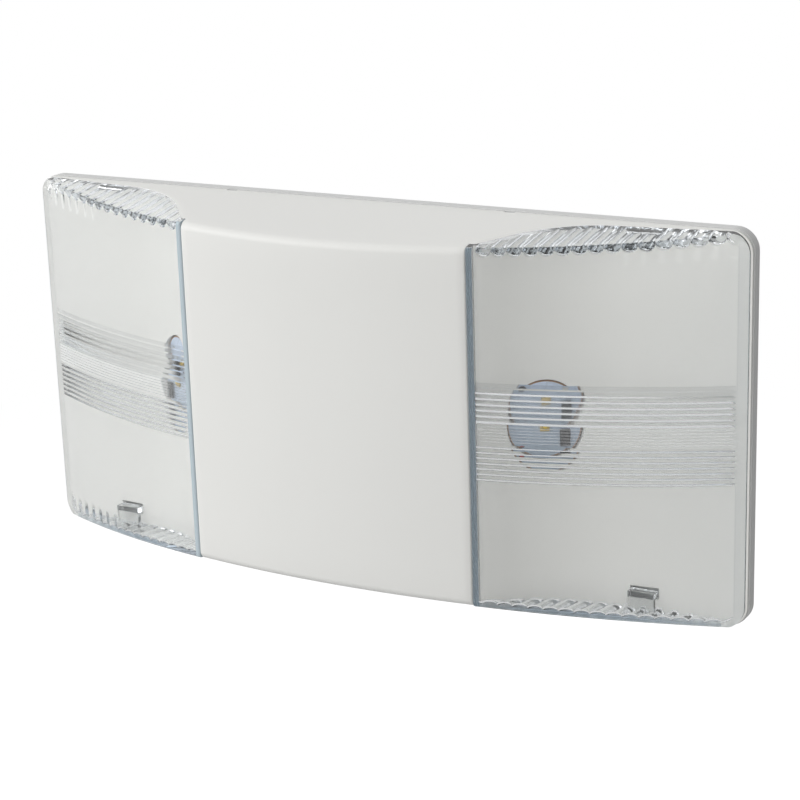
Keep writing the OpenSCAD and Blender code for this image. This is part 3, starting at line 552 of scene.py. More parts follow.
# The lamps' windows: ovals in the reflectors, turned outwards
LAMP_TURN = math.radians(35)
LAMP_X = POCKET_X - POCKET_R * math.sin(LAMP_TURN)
LAMP_D = POCKET_D - POCKET_R * math.cos(LAMP_TURN)
WINDOW_W = 27.6
WINDOW_H = 29.4
WINDOW_RISE = 0.9
END_SHARE = 0.97
ARC_STEPS = 18


def oval(width, height):
    """Oval of four arcs, as in the reflector's window."""
    small = width / 2 * END_SHARE
    rise = height / 2 - small
    large = (small ** 2 - width ** 2 / 4 - rise ** 2) / (2 * small - width)
    off = large - width / 2
    meet = rise + small * rise / math.hypot(off, rise)
    start = math.asin((meet - rise) / small)
    points = [(small * math.cos(a), rise + small * math.sin(a))
              for a in spaced(start, math.pi - start, ARC_STEPS)]
    side = math.asin(meet / large)
    points += [(off + large * math.cos(a), large * math.sin(a))
               for a in spaced(math.pi - side, math.pi + side, ARC_STEPS)[1:-1]]
    return points + [(-x, -y) for x, y in points]


def lamp_frame(side):
    """From a lamp's own frame, Z out of its window and Y up, to the row frame."""
    across = Vector((math.cos(LAMP_TURN), math.sin(LAMP_TURN), 0))
    out = Vector((math.sin(LAMP_TURN), -math.cos(LAMP_TURN), 0))
    turn = Matrix((across, Vector((0, 0, 1)), out)).transposed().to_4x4()
    turn.translation = Vector((LAMP_X, -LAMP_D, 0)) * MM
    return Matrix.Diagonal((side, 1, 1, 1)) @ turn


def window_frame(side):
    """The lamp's frame moved up to the middle of its window."""
    return lamp_frame(side) @ Matrix.Translation((0, WINDOW_RISE * MM, 0))


# The test button and the light pipe come through the underside: x, guide's radius and bore
UNDER = ((-10, 6.4, 4.08), (10, 2.6, 1.55))
UNDER_DEPTH = 16
UNDER_CUT = (-BEYOND, -60)
GUIDE_HEIGHTS = (-69, -64.27)


def under_rod(x, radius, heights):
    """A round solid that stands in the underside."""
    return prism(circle(x, -UNDER_DEPTH, radius), *heights)


shell = boolean(loft("cover_outside", cover_rows(0.0)), loft("cover_inside", cover_rows(WALL)))
cuts = [prism(oval(WINDOW_W, WINDOW_H), -2 * WALL, 2 * WALL, window_frame(side))
        for side in (-1, 1)]
for side in (-1, 1):
    cuts += [bar(side * HOOK_X, HOOK_HALF + GAP, SLOT_DEPTHS, HOOK_Z, HOOK_SLOT),
             bar(side * HOOK_X, LATCH_HALF + GAP, SLOT_DEPTHS, NOSE_Z, LATCH_SLOT),
             bar(side * SIDE, NOTCH_HALF, NOTCH_DEPTHS, 0, (NOTCH_FOOT, BEYOND))]
cuts += [under_rod(x, bore, UNDER_CUT) for x, outer, bore in UNDER]
for solid in cuts:
    shell = boolean(shell, solid)
fingers = [bar(side * SIDE, FINGER_HALF, FINGER_DEPTHS, 0, heights)
           for side in (-1, 1) for heights in FINGER_HEIGHTS]
guides = [boolean(under_rod(x, outer, GUIDE_HEIGHTS), under_rod(x, bore, UNDER_CUT))
          for x, outer, bore in UNDER]
shell = join(shell, *fingers, *guides)
smooth(shell, 32)
cover_white = moulded("cover_white", (0.83, 0.83, 0.805), roughness=0.38, depth=0.1)
# Painted light: the reflectors are the same moulding as the cover, given a lighter, warmer white
# to make up for the light the lenses take from them
reflector_painted_light_white = moulded("reflector_painted_light_white", (0.935, 0.92, 0.88), roughness=0.34, depth=0.06)


def centre_of(face):
    """A face's middle in mm, as x, depth and height."""
    return face.center.x / MM, -face.center.y / MM, face.center.z / MM


def cover_finish(face):
    """Number 1 for the reflectors' faces, which take the painted lighter white, and 0 for the
    rest.
    """
    x, depth, z = centre_of(face)
    return int(abs(x) > SIDE + 0.1 and abs(z) < half_height(depth) - 0.6
               and face.normal.y < -0.1)


place("front_cover_shell", shell, (cover_white, reflector_painted_light_white), "front_cover",
      sort=cover_finish)

# Lenses: clear polycarbonate, moulded with flutes in the top and bottom walls and a
# band of prism ribs. Each hooks over the cover's top and latches at the bottom.
LENS_WALL = 2.6
LENS_TOP = 1.5
LENS_EDGE = 1.3
LENS_STEPS = 90
# width of the painted glow along the left lens's edge
EDGE_GLOW = 1.9
EDGE_BLEND = (0, 0.05, 0.15, 0.35, 0.6)
FLUTE_PITCH = 5.3
FLUTE_R = 2.6
FLUTE_PROUD = 2.0
FLUTE_POINTS = (-1, -0.97, -0.88, -0.74, -0.5, -0.25, 0, 0.25, 0.5, 0.74, 0.88, 0.97, 1)
LOW_FLUTE_SHARE = 0.45
BAND_TOP = 17.7
TOP_PITCH = 2.1
RIB_PITCH = 2.0
FINE_PITCH = 1.1
ROWS = 7
FINE_TIP = (0.13, 0.22)  # share of the pitch, and depth
RIB_FACE = (0.5, 0.75, 0.4)  # shares where it starts and is deepest, and depth
BAND_LOW = BAND_TOP - ROWS * (TOP_PITCH + RIB_PITCH + FINE_PITCH)
RIB_TILTS = {"right": (20, 25, 27, 28, 28, 27, 27), "left": (5, 8, 10, 12, 12, 12, 12)}
RIB_TIP = 0.75
LENS_ROUND = 1.1
FLUTES = 16
EASE = 0.8
EASE_MIDDLE = (0.35, 0.25)
HOLLOW_PAST = 3.0
HOOK_T = 1.5
HOOK_REACH = 3.3
HOOK_ROOT = 3.4
HOOK_STEM = (-1.4, 1.6)
LATCH_T = 1.6
LATCH_CLEAR = 1.2
LATCH_LAP = 0.75
LATCH_TOP = 2.4
NOSE_HALF = LATCH_HALF - 0.05
NOSE_REACH = 1.4
NEAR_PANEL = {"right": 1.0, "left": 0.35}  # how dark the painted shade on the wall's rear edge is there


def lens_outside():
    """The lens as a solid body, bowed in front and lying on the reflector at the back."""
    low, high = SIDE + GAP, LENS_END
    ease = LENS_ROUND * 0.55
    rows = []
    for x in ([low + v for v in EDGE_BLEND] + spaced(low + 1.0, high - 1.0, LENS_STEPS)
              + [high - v for v in reversed(EDGE_BLEND)]):
        edge = min(x - low, high - x, ease)
        inset = ease - math.sqrt(max(0, ease ** 2 - (ease - edge) ** 2))
        rows.append((x, cap_section(floor_depth(x) + GAP, front_depth(x) - inset,
                                    corner(x, LENS_END, COVER_TOP, COVER_CORNER), LENS_ROUND,
                                    steps=5, flat=30)))
    return loft("lens_outside", rows)


def rib_profile(tilts):
    """Heights and depths of the prism ribs down the inner face."""
    points, z = [(BAND_TOP, 0.0)], BAND_TOP
    for tilt in tilts:
        points.append((z - TOP_PITCH * RIB_TIP,
                       TOP_PITCH * RIB_TIP * math.tan(math.radians(tilt))))
        z -= TOP_PITCH
        points.append((z, 0.0))
    for _ in range(ROWS):
        points.append((z - FINE_TIP[0] * FINE_PITCH, FINE_TIP[1]))
        z -= FINE_PITCH
        points.append((z, 0.0))
    start, tip, deep = RIB_FACE
    for _ in range(ROWS):
        points += [(z - start * RIB_PITCH, 0.0), (z - tip * RIB_PITCH, deep)]
        z -= RIB_PITCH
        points.append((z, 0.0))
    return points


def lens_inside(tilts):
    """The hollow of the lens, with the flutes above and below and the band of ribs."""
    low, high = SIDE + GAP + LENS_EDGE, LENS_END - LENS_EDGE
    ribs = rib_profile(tilts)
    first = (low + high - (FLUTES - 1) * FLUTE_PITCH) / 2
    foot = math.sqrt(FLUTE_R ** 2 - (FLUTE_R - FLUTE_PROUD) ** 2)
    xs = {low, high} | {first + i * FLUTE_PITCH + foot * share
                        for i in range(FLUTES) for share in FLUTE_POINTS}
    rows = []
    for x in sorted(v for v in xs if low <= v <= high):
        i = min(FLUTES - 1, max(0, round((x - first) / FLUTE_PITCH)))
        across = x - first - i * FLUTE_PITCH
        flute = max(0.0, math.sqrt(max(0, FLUTE_R ** 2 - across ** 2)) - FLUTE_R + FLUTE_PROUD)
        limit = corner(x, LENS_END - LENS_EDGE, COVER_TOP - LENS_TOP, COVER_CORNER - LENS_EDGE / 2)
        inner = front_depth(x, LENS_WALL)
        rear = min(floor_depth(x) + GAP, inner) - HOLLOW_PAST
        depths = [rear] + spaced(max(rear + 0.5, min(RIM_DEPTH, inner - 1.5)), inner - EASE, 6)
        upper = [(d, min(limit, half_height(d, LENS_TOP)) - flute) for d in depths]
        edge = upper[-1][1]
        upper += [(inner - EASE_MIDDLE[0], edge - EASE_MIDDLE[1]), (inner, edge - EASE)]
        top = upper[-1][1]
        face = [(inner, -z) for z in reversed(spaced(-ribs[-1][0], top, 8)[1:-1])]
        face += [(inner - deep, z) for z, deep in reversed(ribs)]
        face += [(inner, z) for z in spaced(BAND_TOP, top, 8)[1:-1]]
        lower = [(d, -z - flute * (1 - LOW_FLUTE_SHARE)) for d, z in upper]
        rows.append((x, lower + face + list(reversed(upper))))
    return loft("lens_inside", rows)


def rim_painted_shade(x, z, near_panel):
    """Painted shade: how dark the rear edge of the lens's wall is tinted, round the reflector, for
    the dim gap over the cover.
    """
    if x < SIDE + 4:
        return near_panel
    if x > LENS_END - 9:
        return 0.7 if x > LENS_END - 0.7 else 0.1
    return 0.35 if z > 0 else 0.8


def mark_rim(mesh, near_panel):
    """Marks the faces that close the wall's rear edge over the cover, which take a painted shade,
    the points along the wall's outside, and the ribs and flutes. Keeps the ribs' edges sharp."""
    rim = mesh.attributes.new("rim", "FLOAT", "FACE")
    outer = mesh.attributes.new("outer", "FLOAT", "POINT")
    ribbed = mesh.attributes.new("ribbed", "FLOAT", "FACE")
    for face in mesh.polygons:
        x, depth, z = centre_of(face)
        x = abs(x)
        if face.normal.y > 0.6 and abs(depth - floor_depth(x) - GAP) < 0.4:
            rim.data[face.index].value = rim_painted_shade(x, z, near_panel)
        within = depth < front_depth(x, LENS_WALL) + 0.1 and x < LENS_END - 1
        below = half_height(depth) - abs(z)
        ribbed.data[face.index].value = float(
            within and (LENS_TOP - 0.1 < below < LENS_TOP + FLUTE_PROUD + 1 or
                        BAND_LOW < z < BAND_TOP + 0.1))
    for edge in mesh.edges:
        a, b = (mesh.vertices[i].co / MM for i in edge.vertices)
        if BAND_LOW - 0.1 < a.z < BAND_TOP + 0.1 and abs(a.z - b.z) < 0.02 < abs(a.x - b.x) \
                and -a.y < front_depth(abs(a.x), LENS_WALL) + 0.1:
            edge.use_edge_sharp = True
    for point in mesh.vertices:
        x, z = abs(point.co.x) / MM, abs(point.co.z) / MM
        limit = min(corner(x, LENS_END, COVER_TOP, COVER_CORNER),
                    half_height(-point.co.y / MM))
        outer.data[point.index].value = float(
            z > limit - 0.3 or x < SIDE + GAP + 0.2 or x > LENS_END - 0.2)


def lens(tilts):
    """The lens on the right, with its hook at the top and its latch finger."""
    mesh = boolean(lens_outside(), lens_inside(tilts))
    rear = floor_depth(HOOK_X - 6) + GAP
    latch = rear + LATCH_CLEAR
    root = rear + HOOK_ROOT
    for half, depths, base, heights in (
            (HOOK_HALF, (rear - HOOK_REACH, root), HOOK_Z, (-HOOK_T, 0)),
            (HOOK_HALF, (rear, root), HOOK_Z, HOOK_STEM),
            (LATCH_HALF, (latch, latch + LATCH_T), 0,
             (LATCH_LAP - half_height(latch), NOSE_Z + LATCH_TOP)),
            (NOSE_HALF, (rear - NOSE_REACH, latch + LATCH_T / 2), NOSE_Z, (0, NOSE_H))):
        mesh = boolean(mesh, bar(HOOK_X, half, depths, base, heights), "UNION")
    return mesh


clear, tree, shader = material("clear_polycarbonate")
LENS_TINT = (1.0, 1.0, 0.99)
RIM_PAINTED_SHADE_TINT = (0.28, 0.38, 0.48)
# Painted shade: the ribs and flutes are tinted a little darker, for the darker surroundings they
# turn the view towards
RIB_PAINTED_SHADE_TINT = (0.86, 0.865, 0.86)
RIM_WITHIN, RIM_FALL = 0.45, 3.0  # painted shade inside the edge, and how fast it fades from it
POLISH, RIB_BLUR = 0.03, 0.07
dark, outer, ribbed = (
    add(tree, "ShaderNodeAttribute", attribute_name=mark, attribute_type="GEOMETRY").outputs["Fac"]
    for mark in ("rim", "outer", "ribbed"))
# Painted shade: the rim mark tints the glass's rear edge dark and blue, for the dim gap where the
# lens lies on the cover
within = maths(tree, "MULTIPLY", maths(tree, "MULTIPLY", dark, dark), RIM_WITHIN)
across = maths(tree, "MULTIPLY", maths(tree, "POWER", outer, RIM_FALL),
               maths(tree, "SUBTRACT", 1.0, within))
share = maths(tree, "MULTIPLY", dark, maths(tree, "ADD", within, across))
tint = mixed(tree, share, mixed(tree, ribbed, LENS_TINT, RIB_PAINTED_SHADE_TINT), RIM_PAINTED_SHADE_TINT)
blur = maths(tree, "MULTIPLY_ADD", ribbed, RIB_BLUR, POLISH)
feed(tree, shader, Base_Color=tint, Roughness=blur, IOR=1.5, Transmission_Weight=1.0)
absorbed = feed(tree, add(tree, "ShaderNodeVolumeAbsorption"), Color=(0.55, 0.75, 0.95, 1),
                Density=18.0)
path = add(tree, "ShaderNodeLightPath")
through = feed(tree, add(tree, "ShaderNodeBsdfTransparent"), Color=WHITE)
surface = blended(tree, path.outputs["Is Shadow Ray"], shader.outputs[0], through.outputs[0])
feed(tree, tree.nodes["Material Output"], Surface=surface, Volume=absorbed.outputs[0])
# Painted light: a pale opaque finish in place of the clear glass on the left lens's edge, where
# light caught in the wall glows
painted_glow = moulded("painted_glow_edge", (0.50, 0.585, 0.635), roughness=0.12, depth=0.02)


def edge_of_wall(face):
    """Number 1 for the left lens's edge beside the panel, which takes a pale opaque finish:
    painted light for the light caught in the edge.
    """
    x, depth, _ = centre_of(face)
    return int(SIDE < -x < SIDE + GAP + EDGE_GLOW and abs(depth - front_depth(x)) < 2
               and face.normal.y < 0.3 and (face.normal.y < -0.2 or face.normal.x > 0.5))


for side, name in SIDES:
    mesh = lens(RIB_TILTS[name])
    if side < 0:
        mesh.transform(Matrix.Diagonal((-1, 1, 1, 1)))
        mesh.flip_normals()
    smooth(mesh, 30)
    mark_rim(mesh, NEAR_PANEL[name])
    place("clear_lens_" + name, mesh, (clear, painted_glow), "lens_" + name, sort=edge_of_wall)

# Lamp boards: oval aluminium-cored boards with a pale solder resist, a bare brown edge
# and tinned pads for the two leads, screwed to the brackets behind the reflectors.
LAMP_SET = 0.4
BOARD_T = 2.2
BOARD_GAP = 0.5
BOARD_RIM = 1.7
PAD_X, PAD_Z = -8.28, 8.256
PAD_R, PAD_BORE, PAD_T = 1.9, 1.2, 0.08
DROP_R, DROP_H = 1.15, 1.0
THROUGH = (-5, 5)  # clear of the board, on both sides


def ring_solid(outer, inner, low, high, turn):
    """A flat closed ring between two outlines of the same count."""
    bm = bmesh.new()
    rings = [[bm.verts.new(turn @ (Vector((x, y, height)) * MM)) for x, y in outline]
             for outline, height in ((outer, low), (inner, low), (inner, high), (outer, high))]
    for a, b in zip(rings, rings[1:] + rings[:1]):
        for i in range(len(outer)):
            j = (i + 1) % len(outer)
            bm.faces.new((a[i], a[j], b[j], b[i]))
    bmesh.ops.recalc_face_normals(bm, faces=bm.faces)
    return made_mesh(bm, "ring")


def in_lamp(side, point):
    """A point of the row frame as seen from a lamp's own frame, in mm."""
    return (lamp_frame(side).inverted() @ point) / MM


def board_finish(side, face):
    """Number 3 for solder, 2 for tinned pads, 1 for the bare edge and 0 for the resist."""
    point = in_lamp(side, face.center)
    if point.z > -LAMP_SET + 0.01:
        return 3 if math.hypot(point.x - PAD_X, abs(point.y) - PAD_Z) < DROP_R + 0.02 else 2
    upright = abs(face.normal.dot(lamp_frame(side).to_3x3().col[2])) < 0.5
    return int(upright or point.z > -LAMP_SET + 0.002)


resist, tree, shader, texture = grained("board_resist", scale=500.0, depth=0.05,
                                        roughness=0.35, spread=0.1)
# Painted shade: the resist runs from darker at the board's bottom to lighter at its top, as light
# falls from above
board_painted_shade = feed(tree, add(tree, "ShaderNodeMapRange"), Value=spot(tree, "Z"), From_Min=-0.012,
             From_Max=0.016)
colour = mixed(tree, board_painted_shade.outputs["Result"], (0.42, 0.49, 0.57), (0.70, 0.79, 0.95))
lines = feed(tree, add(tree, "ShaderNodeTexVoronoi", feature="DISTANCE_TO_EDGE"),
             Vector=spot(tree), Scale=190.0)
traces = maths(tree, "LESS_THAN", lines.outputs["Distance"], 0.06)
colour = mixed(tree, maths(tree, "MULTIPLY", traces, 0.25), colour, (0.40, 0.47, 0.56))
feed(tree, shader, Base_Color=colour)
board_edge = moulded("board_edge", (0.36, 0.20, 0.10), roughness=0.55, depth=0.3, scale=1500.0)
tinned = moulded("tinned_pad", (0.72, 0.72, 0.70), roughness=0.28, depth=0.4, scale=1200.0,
                 Metallic=1.0)
solder = moulded("dull_solder", (0.12, 0.12, 0.12), roughness=0.5, depth=0.5, scale=1500.0)
for side, name in SIDES:
    own = lamp_frame(side)
    outline = oval(WINDOW_W - 2 * BOARD_GAP, WINDOW_H - 2 * BOARD_GAP)
    mesh = prism(outline, -LAMP_SET - BOARD_T, -LAMP_SET, window_frame(side))
    for z in (-PAD_Z, PAD_Z):
        bore = prism(circle(PAD_X, z, PAD_BORE, 20), *THROUGH, own)
        mesh = boolean(mesh, prism(circle(PAD_X, z, PAD_BORE - 0.1, 20), *THROUGH, own))
        pad = prism(circle(PAD_X, z, PAD_R, 20), -LAMP_SET - 0.3, -LAMP_SET + PAD_T, own)
        drop = prism(circle(PAD_X, z, DROP_R, 20), -LAMP_SET - 0.2, -LAMP_SET + DROP_H, own)
        mesh = join(mesh, boolean(pad, bore), drop)
    mesh = join(mesh, ring_solid(outline, oval(WINDOW_W - BOARD_RIM, WINDOW_H - BOARD_RIM),
                                 -LAMP_SET - 0.1, -LAMP_SET + 0.005, window_frame(side)))
    smooth(mesh)
    place("lamp_board_" + name, mesh, (resist, board_edge, tinned, solder),
          "led_board_" + name, sort=lambda face, side=side: board_finish(side, face))

# Light-emitting chips: a small dome of yellow phosphor on a gold-plated pad, soldered to
# the middle of each lamp board.
phosphor = moulded("phosphor", (0.80, 0.56, 0.06), roughness=0.35, depth=0.25, scale=2500.0)
gold_pad = moulded("gold_pad", (0.62, 0.47, 0.20), roughness=0.3, depth=0.2, scale=2000.0,
                   Metallic=1.0)
CHIP_PAD_TOP = 0.75
for side, name in SIDES:
    dressed("chip_" + name, "led_chip_" + name, 0.12, (gold_pad, phosphor),
            sort=lambda face, side=side: int(in_lamp(side, face.center).z > CHIP_PAD_TOP))

# Protection diodes: black moulded bodies beside the chips, with bent tinned leads that
# are soldered to the lamp boards.
black_mould = moulded("black_mould", (0.016, 0.016, 0.018), roughness=0.4, depth=0.3)
LEG_X, LEG_Z, LEG_T = (6.2, 8.2), ((0.6, 1.8), (6.5, 7.7)), 0.35
legs = [prism([(LEG_X[0], low), (LEG_X[1], low), (LEG_X[1], high), (LEG_X[0], high)],
              -LAMP_SET, -LAMP_SET + LEG_T, lamp_frame(side))
        for side in (1, -1) for low, high in LEG_Z]
mesh = join(rounded("lamp_diodes", 0.3), *legs)
smooth(mesh)
place("diodes", mesh, (black_mould, tinned), "lamp_diodes",
      sort=lambda face: int(in_lamp(1 if face.center.x > 0 else -1, face.center).z < 0.0))

# Lamp brackets: folded aluminium plates with short fins, which carry the boards and
# lead their heat away. They stand on feet screwed to the tray.
def brushed(name, colour, roughness, along=(900.0, 60.0, 900.0), depth=0.15):
    """Rolled or drawn metal, with streaks along one direction."""
    paint, tree, shader = material(name)
    grid = feed(tree, add(tree, "ShaderNodeMapping"), Vector=spot(tree), Scale=along)
    streak = feed(tree, add(tree, "ShaderNodeTexNoise"), Vector=grid.outputs["Vector"],
                  Scale=1.0, Detail=3.0).outputs["Fac"]
    bump = feed(tree, add(tree, "ShaderNodeBump"), Height=streak, Strength=depth,
                Distance=0.00005)
    cloud = maths(tree, "MULTIPLY_ADD", maths(tree, "SUBTRACT", streak, 0.5), 0.15, roughness)
    feed(tree, shader, Base_Color=tinted(tree, streak, colour, 0.06), Roughness=cloud,
         Metallic=1.0, Normal=bump.outputs["Normal"])
    return paint


sink_metal = brushed("bracket_aluminium", (0.60, 0.61, 0.62), 0.34)
for side, name in SIDES:
    dressed("lamp_bracket_" + name, "heat_sink_" + name, 0.18, sink_metal)

# Screws of the lamp brackets: zinc-plated steel with pan heads and a cross recess. They
# hold the brackets' feet to the tray's posts.
zinc = brushed("zinc_plate", (0.66, 0.67, 0.66), 0.26, along=(400.0, 400.0, 400.0), depth=0.1)
dressed("bracket_screws", "lamp_screws", 0.14, zinc, angle=40)

# Lamp leads: stranded wire in red silicone sleeving, soldered to the pads of each lamp
# board and crimped into its plug on the control board.
red_sleeve = moulded("red_sleeve", (0.55, 0.015, 0.015), roughness=0.45, depth=0.2, scale=1800.0)
for side, name in SIDES:
    dressed("leads_" + name, "lamp_leads_" + name, 0.02, red_sleeve, angle=80, crease=60)

# Plugs of the lamp leads: two-way crimp housings moulded in ivory nylon, with slots for
# the contacts. They are pushed onto the control board.
ivory = moulded("ivory_nylon", (0.74, 0.69, 0.55), roughness=0.45)
SLOT_STEP, SLOT_FACE, SLOT_TOP = 1.25, 18.2, 20


def plug(name, node, centres):
    """A plug body with two contact slots in its front and a groove beside them."""
    mesh = rounded(node, 0.35)
    for x, z in centres:
        for step in (-SLOT_STEP, SLOT_STEP):
            mesh = boolean(mesh, bar(x - 2.1, 1.5, (SLOT_FACE, SLOT_TOP), z + step, (-0.5, 0.5)))
        mesh = boolean(mesh, bar(x + 3.0, 0.4, (SLOT_FACE - 0.2, SLOT_TOP), z, (-1.4, 1.4)))
    place(name, mesh, ivory, node)


plug("plugs_lamps", "lamp_plugs", ((-46.8, -12.6), (46.8, -12.6)))

# Battery: four nickel cells in a row, each a drawn steel can with a crimped lid. Only
# the ends of the cans show beyond the sleeve.
can_steel = brushed("can_steel", (0.62, 0.61, 0.59), 0.3, along=(500.0, 500.0, 40.0))
dressed("cells", "battery_cells", 0.3, can_steel)

# Shrink sleeve: glossy blue film, shrunk tight round the row of cells with hot air, which
# leaves a faint ripple in it.
film, tree, shader, texture = grained("blue_film", scale=120.0, depth=0.5, roughness=0.26,
                                      spread=0.2, Coat_Weight=0.4)
feed(tree, shader,
     Base_Color=mixed(tree, texture["Cloud"], (0.02, 0.10, 0.36), (0.03, 0.15, 0.50)))
dressed("shrink_sleeve", "battery_sleeve", 0.25, film)

# Cell links: nickel strip, cut to length and spot-welded across the cells' ends, so that
# the four cells work in series.
nickel = brushed("nickel_strip", (0.70, 0.68, 0.62), 0.3, along=(60.0, 700.0, 700.0))
dressed("links", "cell_links", 0.08, nickel)

# Battery strap: a band of galvanised steel over the pack, with a foot and a screw at
# each side.
galvanised, tree, shader = material("galvanised_steel")
flakes = feed(tree, add(tree, "ShaderNodeTexVoronoi"), Vector=spot(tree), Scale=260.0)
flake = feed(tree, add(tree, "ShaderNodeSeparateColor"), Color=flakes.outputs["Color"])
colour = mixed(tree, flake.outputs["Red"], (0.50, 0.51, 0.52), (0.66, 0.67, 0.68))
rough = maths(tree, "MULTIPLY_ADD", flake.outputs["Green"], 0.15, 0.3)
feed(tree, shader, Base_Color=colour, Roughness=rough, Metallic=1.0)
dressed("strap", "battery_strap", 0.2, galvanised)
dressed("screws_strap", "strap_screws", 0.14, zinc, angle=40)

# Battery leads and plug: stranded wire in black sleeving, soldered to the pack's end
# links and crimped into an ivory plug on the control board.
black_sleeve = moulded("black_sleeve", (0.012, 0.012, 0.013), roughness=0.42, depth=0.2,
                       scale=1800.0)
dressed("leads_battery", "battery_leads", 0.02, black_sleeve, angle=80, crease=60)
plug("plug_battery", "battery_plug", ((25, -2),))

# Control board: glass-fibre board with green resist over copper tracks, white printed
# outlines round the parts and tinned rings at its four screws.
BOARD_FACE = 12.0
PRINT_T, RING_T = 0.02, 0.03
fibre = moulded("fibre_edge", (0.42, 0.40, 0.22), roughness=0.6, depth=0.4, scale=1600.0)
ink = moulded("white_ink", (0.75, 0.76, 0.74), roughness=0.55, depth=0.1)
green, tree, shader, texture = grained("green_resist", scale=600.0, depth=0.05,
                                       roughness=0.3, spread=0.1, Coat_Weight=0.3)
turn = feed(tree, add(tree, "ShaderNodeMapping"), Vector=spot(tree),
            Rotation=(math.pi / 2, 0, 0)).outputs["Vector"]
lanes = feed(tree, add(tree, "ShaderNodeTexBrick", offset=0.37, squash=0.7), Vector=turn,
             Scale=62.0, Mortar_Size=0.055, Mortar_Smooth=0.2, Color1=(0, 0, 0, 1),
             Color2=(0, 0, 0, 1), Mortar=WHITE)
cells = feed(tree, add(tree, "ShaderNodeTexVoronoi", feature="DISTANCE_TO_EDGE"),
             Vector=turn, Scale=55.0)
fields = maths(tree, "GREATER_THAN", cells.outputs["Distance"], 0.12)
lane = feed(tree, add(tree, "ShaderNodeSeparateColor"), Color=lanes.outputs["Color"])
copper_under = maths(tree, "MULTIPLY", lane.outputs["Red"], fields)
colour = mixed(tree, texture["Cloud"], (0.008, 0.075, 0.03), (0.012, 0.10, 0.042))
raised = feed(tree, add(tree, "ShaderNodeBump"), Height=copper_under, Strength=0.4,
              Distance=0.00004, Normal=texture["Normal"])
feed(tree, shader, Base_Color=mixed(tree, copper_under, colour, (0.03, 0.17, 0.06)),
     Normal=raised.outputs["Normal"])


def printed_frame(x0, x1, z0, z1, line=0.25):
    """A printed outline round a part."""
    outer = block(x0, x1, BOARD_FACE - 0.05, BOARD_FACE + PRINT_T, z0, z1)
    return boolean(outer, block(x0 + line, x1 - line, 11, 13, z0 + line, z1 - line))


# The two edges in x and the two heights of each printed outline
PRINTED = ((-40.8, -13.2, -28.5, -5.9), (-6.1, 10.3, -22.8, -2.4), (-51.2, -32.0, -53.8, -42.6),
           (-27.4, -5.8, -50.9, -42.9), (15.4, 26.2, -42.4, -32.8), (36.0, 47.2, -35.2, -29.6),
           (14.2, 25.4, -19.8, -15.8), (14.2, 25.4, -24.5, -20.5), (14.2, 25.4, -29.1, -25.1),
           (-14.6, -5.4, -61.2, -55.2), (19.8, 30.2, -5.7, 1.7), (-52, -41.6, -16.3, -8.9),
           (41.6, 52, -16.3, -8.9))
CORNERS = [(x, z) for x in (-47.9, 47.9) for z in (-57.2, 0.4)]
CORNER_RING = 3.6
face_out = Matrix.Rotation(math.pi / 2, 4, "X")
mesh = rounded("control_board", 0.15)
for edges in PRINTED:
    mesh = join(mesh, printed_frame(*edges))
for x, z in CORNERS:
    mesh = join(mesh, prism(circle(x, z, CORNER_RING, 28), BOARD_FACE - 0.1,
                            BOARD_FACE + RING_T, face_out))
smooth(mesh)


def control_finish(face):
    """Number 3 for tinned rings, 2 for print, 1 for the board's edge and 0 for its faces."""
    x, depth, z = centre_of(face)
    if abs(face.normal.y) < 0.5 and depth < BOARD_FACE - 0.06:
        return 1
    if depth < BOARD_FACE + 0.005:
        return 0
    return 3 if any(math.hypot(x - a, z - b) < CORNER_RING + 0.1 for a, b in CORNERS) else 2


place("control_board_piece", mesh, (green, fibre, ink, tinned), "control_board",
      sort=control_finish)
dressed("screws_board", "board_screws", 0.14, zinc, angle=40)

# Insulating sheet: translucent polyester film, cut to the board's outline and laid
# between the board and the tray.
sheet = moulded("polyester_sheet", (0.72, 0.70, 0.58), roughness=0.3, depth=0.3, scale=80.0)
dressed("insulating_film", "insulation_sheet", 0.08, sheet)

# Transformer: a core of stacked steel sheets, with a coil of enamelled copper wire
# wound on a bobbin round its middle leg.
def banded(name, low, high, axis, pitch, roughness, depth=0.6, metallic=0.0, share=0.25):
    """A finish of fine lines across one axis, as of stacked sheets or wound wire."""
    paint, tree, shader = material(name)
    turn = maths(tree, "MULTIPLY", spot(tree, axis), 2 * math.pi / (pitch * MM))
    wave = maths(tree, "MULTIPLY_ADD", maths(tree, "SINE", turn), 0.5, 0.5)
    line = maths(tree, "POWER", wave, share)
    speck = feed(tree, add(tree, "ShaderNodeTexNoise"), Vector=spot(tree), Scale=700.0)
    bump = feed(tree, add(tree, "ShaderNodeBump"), Height=line, Strength=depth,
                Distance=pitch * MM * 0.2)
    rough = maths(tree, "MULTIPLY_ADD", speck.outputs["Fac"], 0.2, roughness - 0.1)
    feed(tree, shader, Base_Color=mixed(tree, line, low, high), Roughness=rough,
         Normal=bump.outputs["Normal"], Metallic=metallic)
    return paint


core_steel = banded("core_steel", (0.10, 0.10, 0.11), (0.30, 0.31, 0.33), "Y", 0.5, 0.42,
                    metallic=0.6)
dressed("core", "transformer_core", 0.2, core_steel)
copper_wire = banded("copper_wire", (0.24, 0.07, 0.02), (0.62, 0.24, 0.08), "Z", 0.55, 0.3,
                     depth=0.9, share=0.5)
bobbin = moulded("bobbin_nylon", (0.62, 0.60, 0.52), roughness=0.5)
dressed("coil", "transformer_coil", 0.5, (copper_wire, bobbin),
        sort=lambda face: int(abs(face.normal.z) > 0.7))

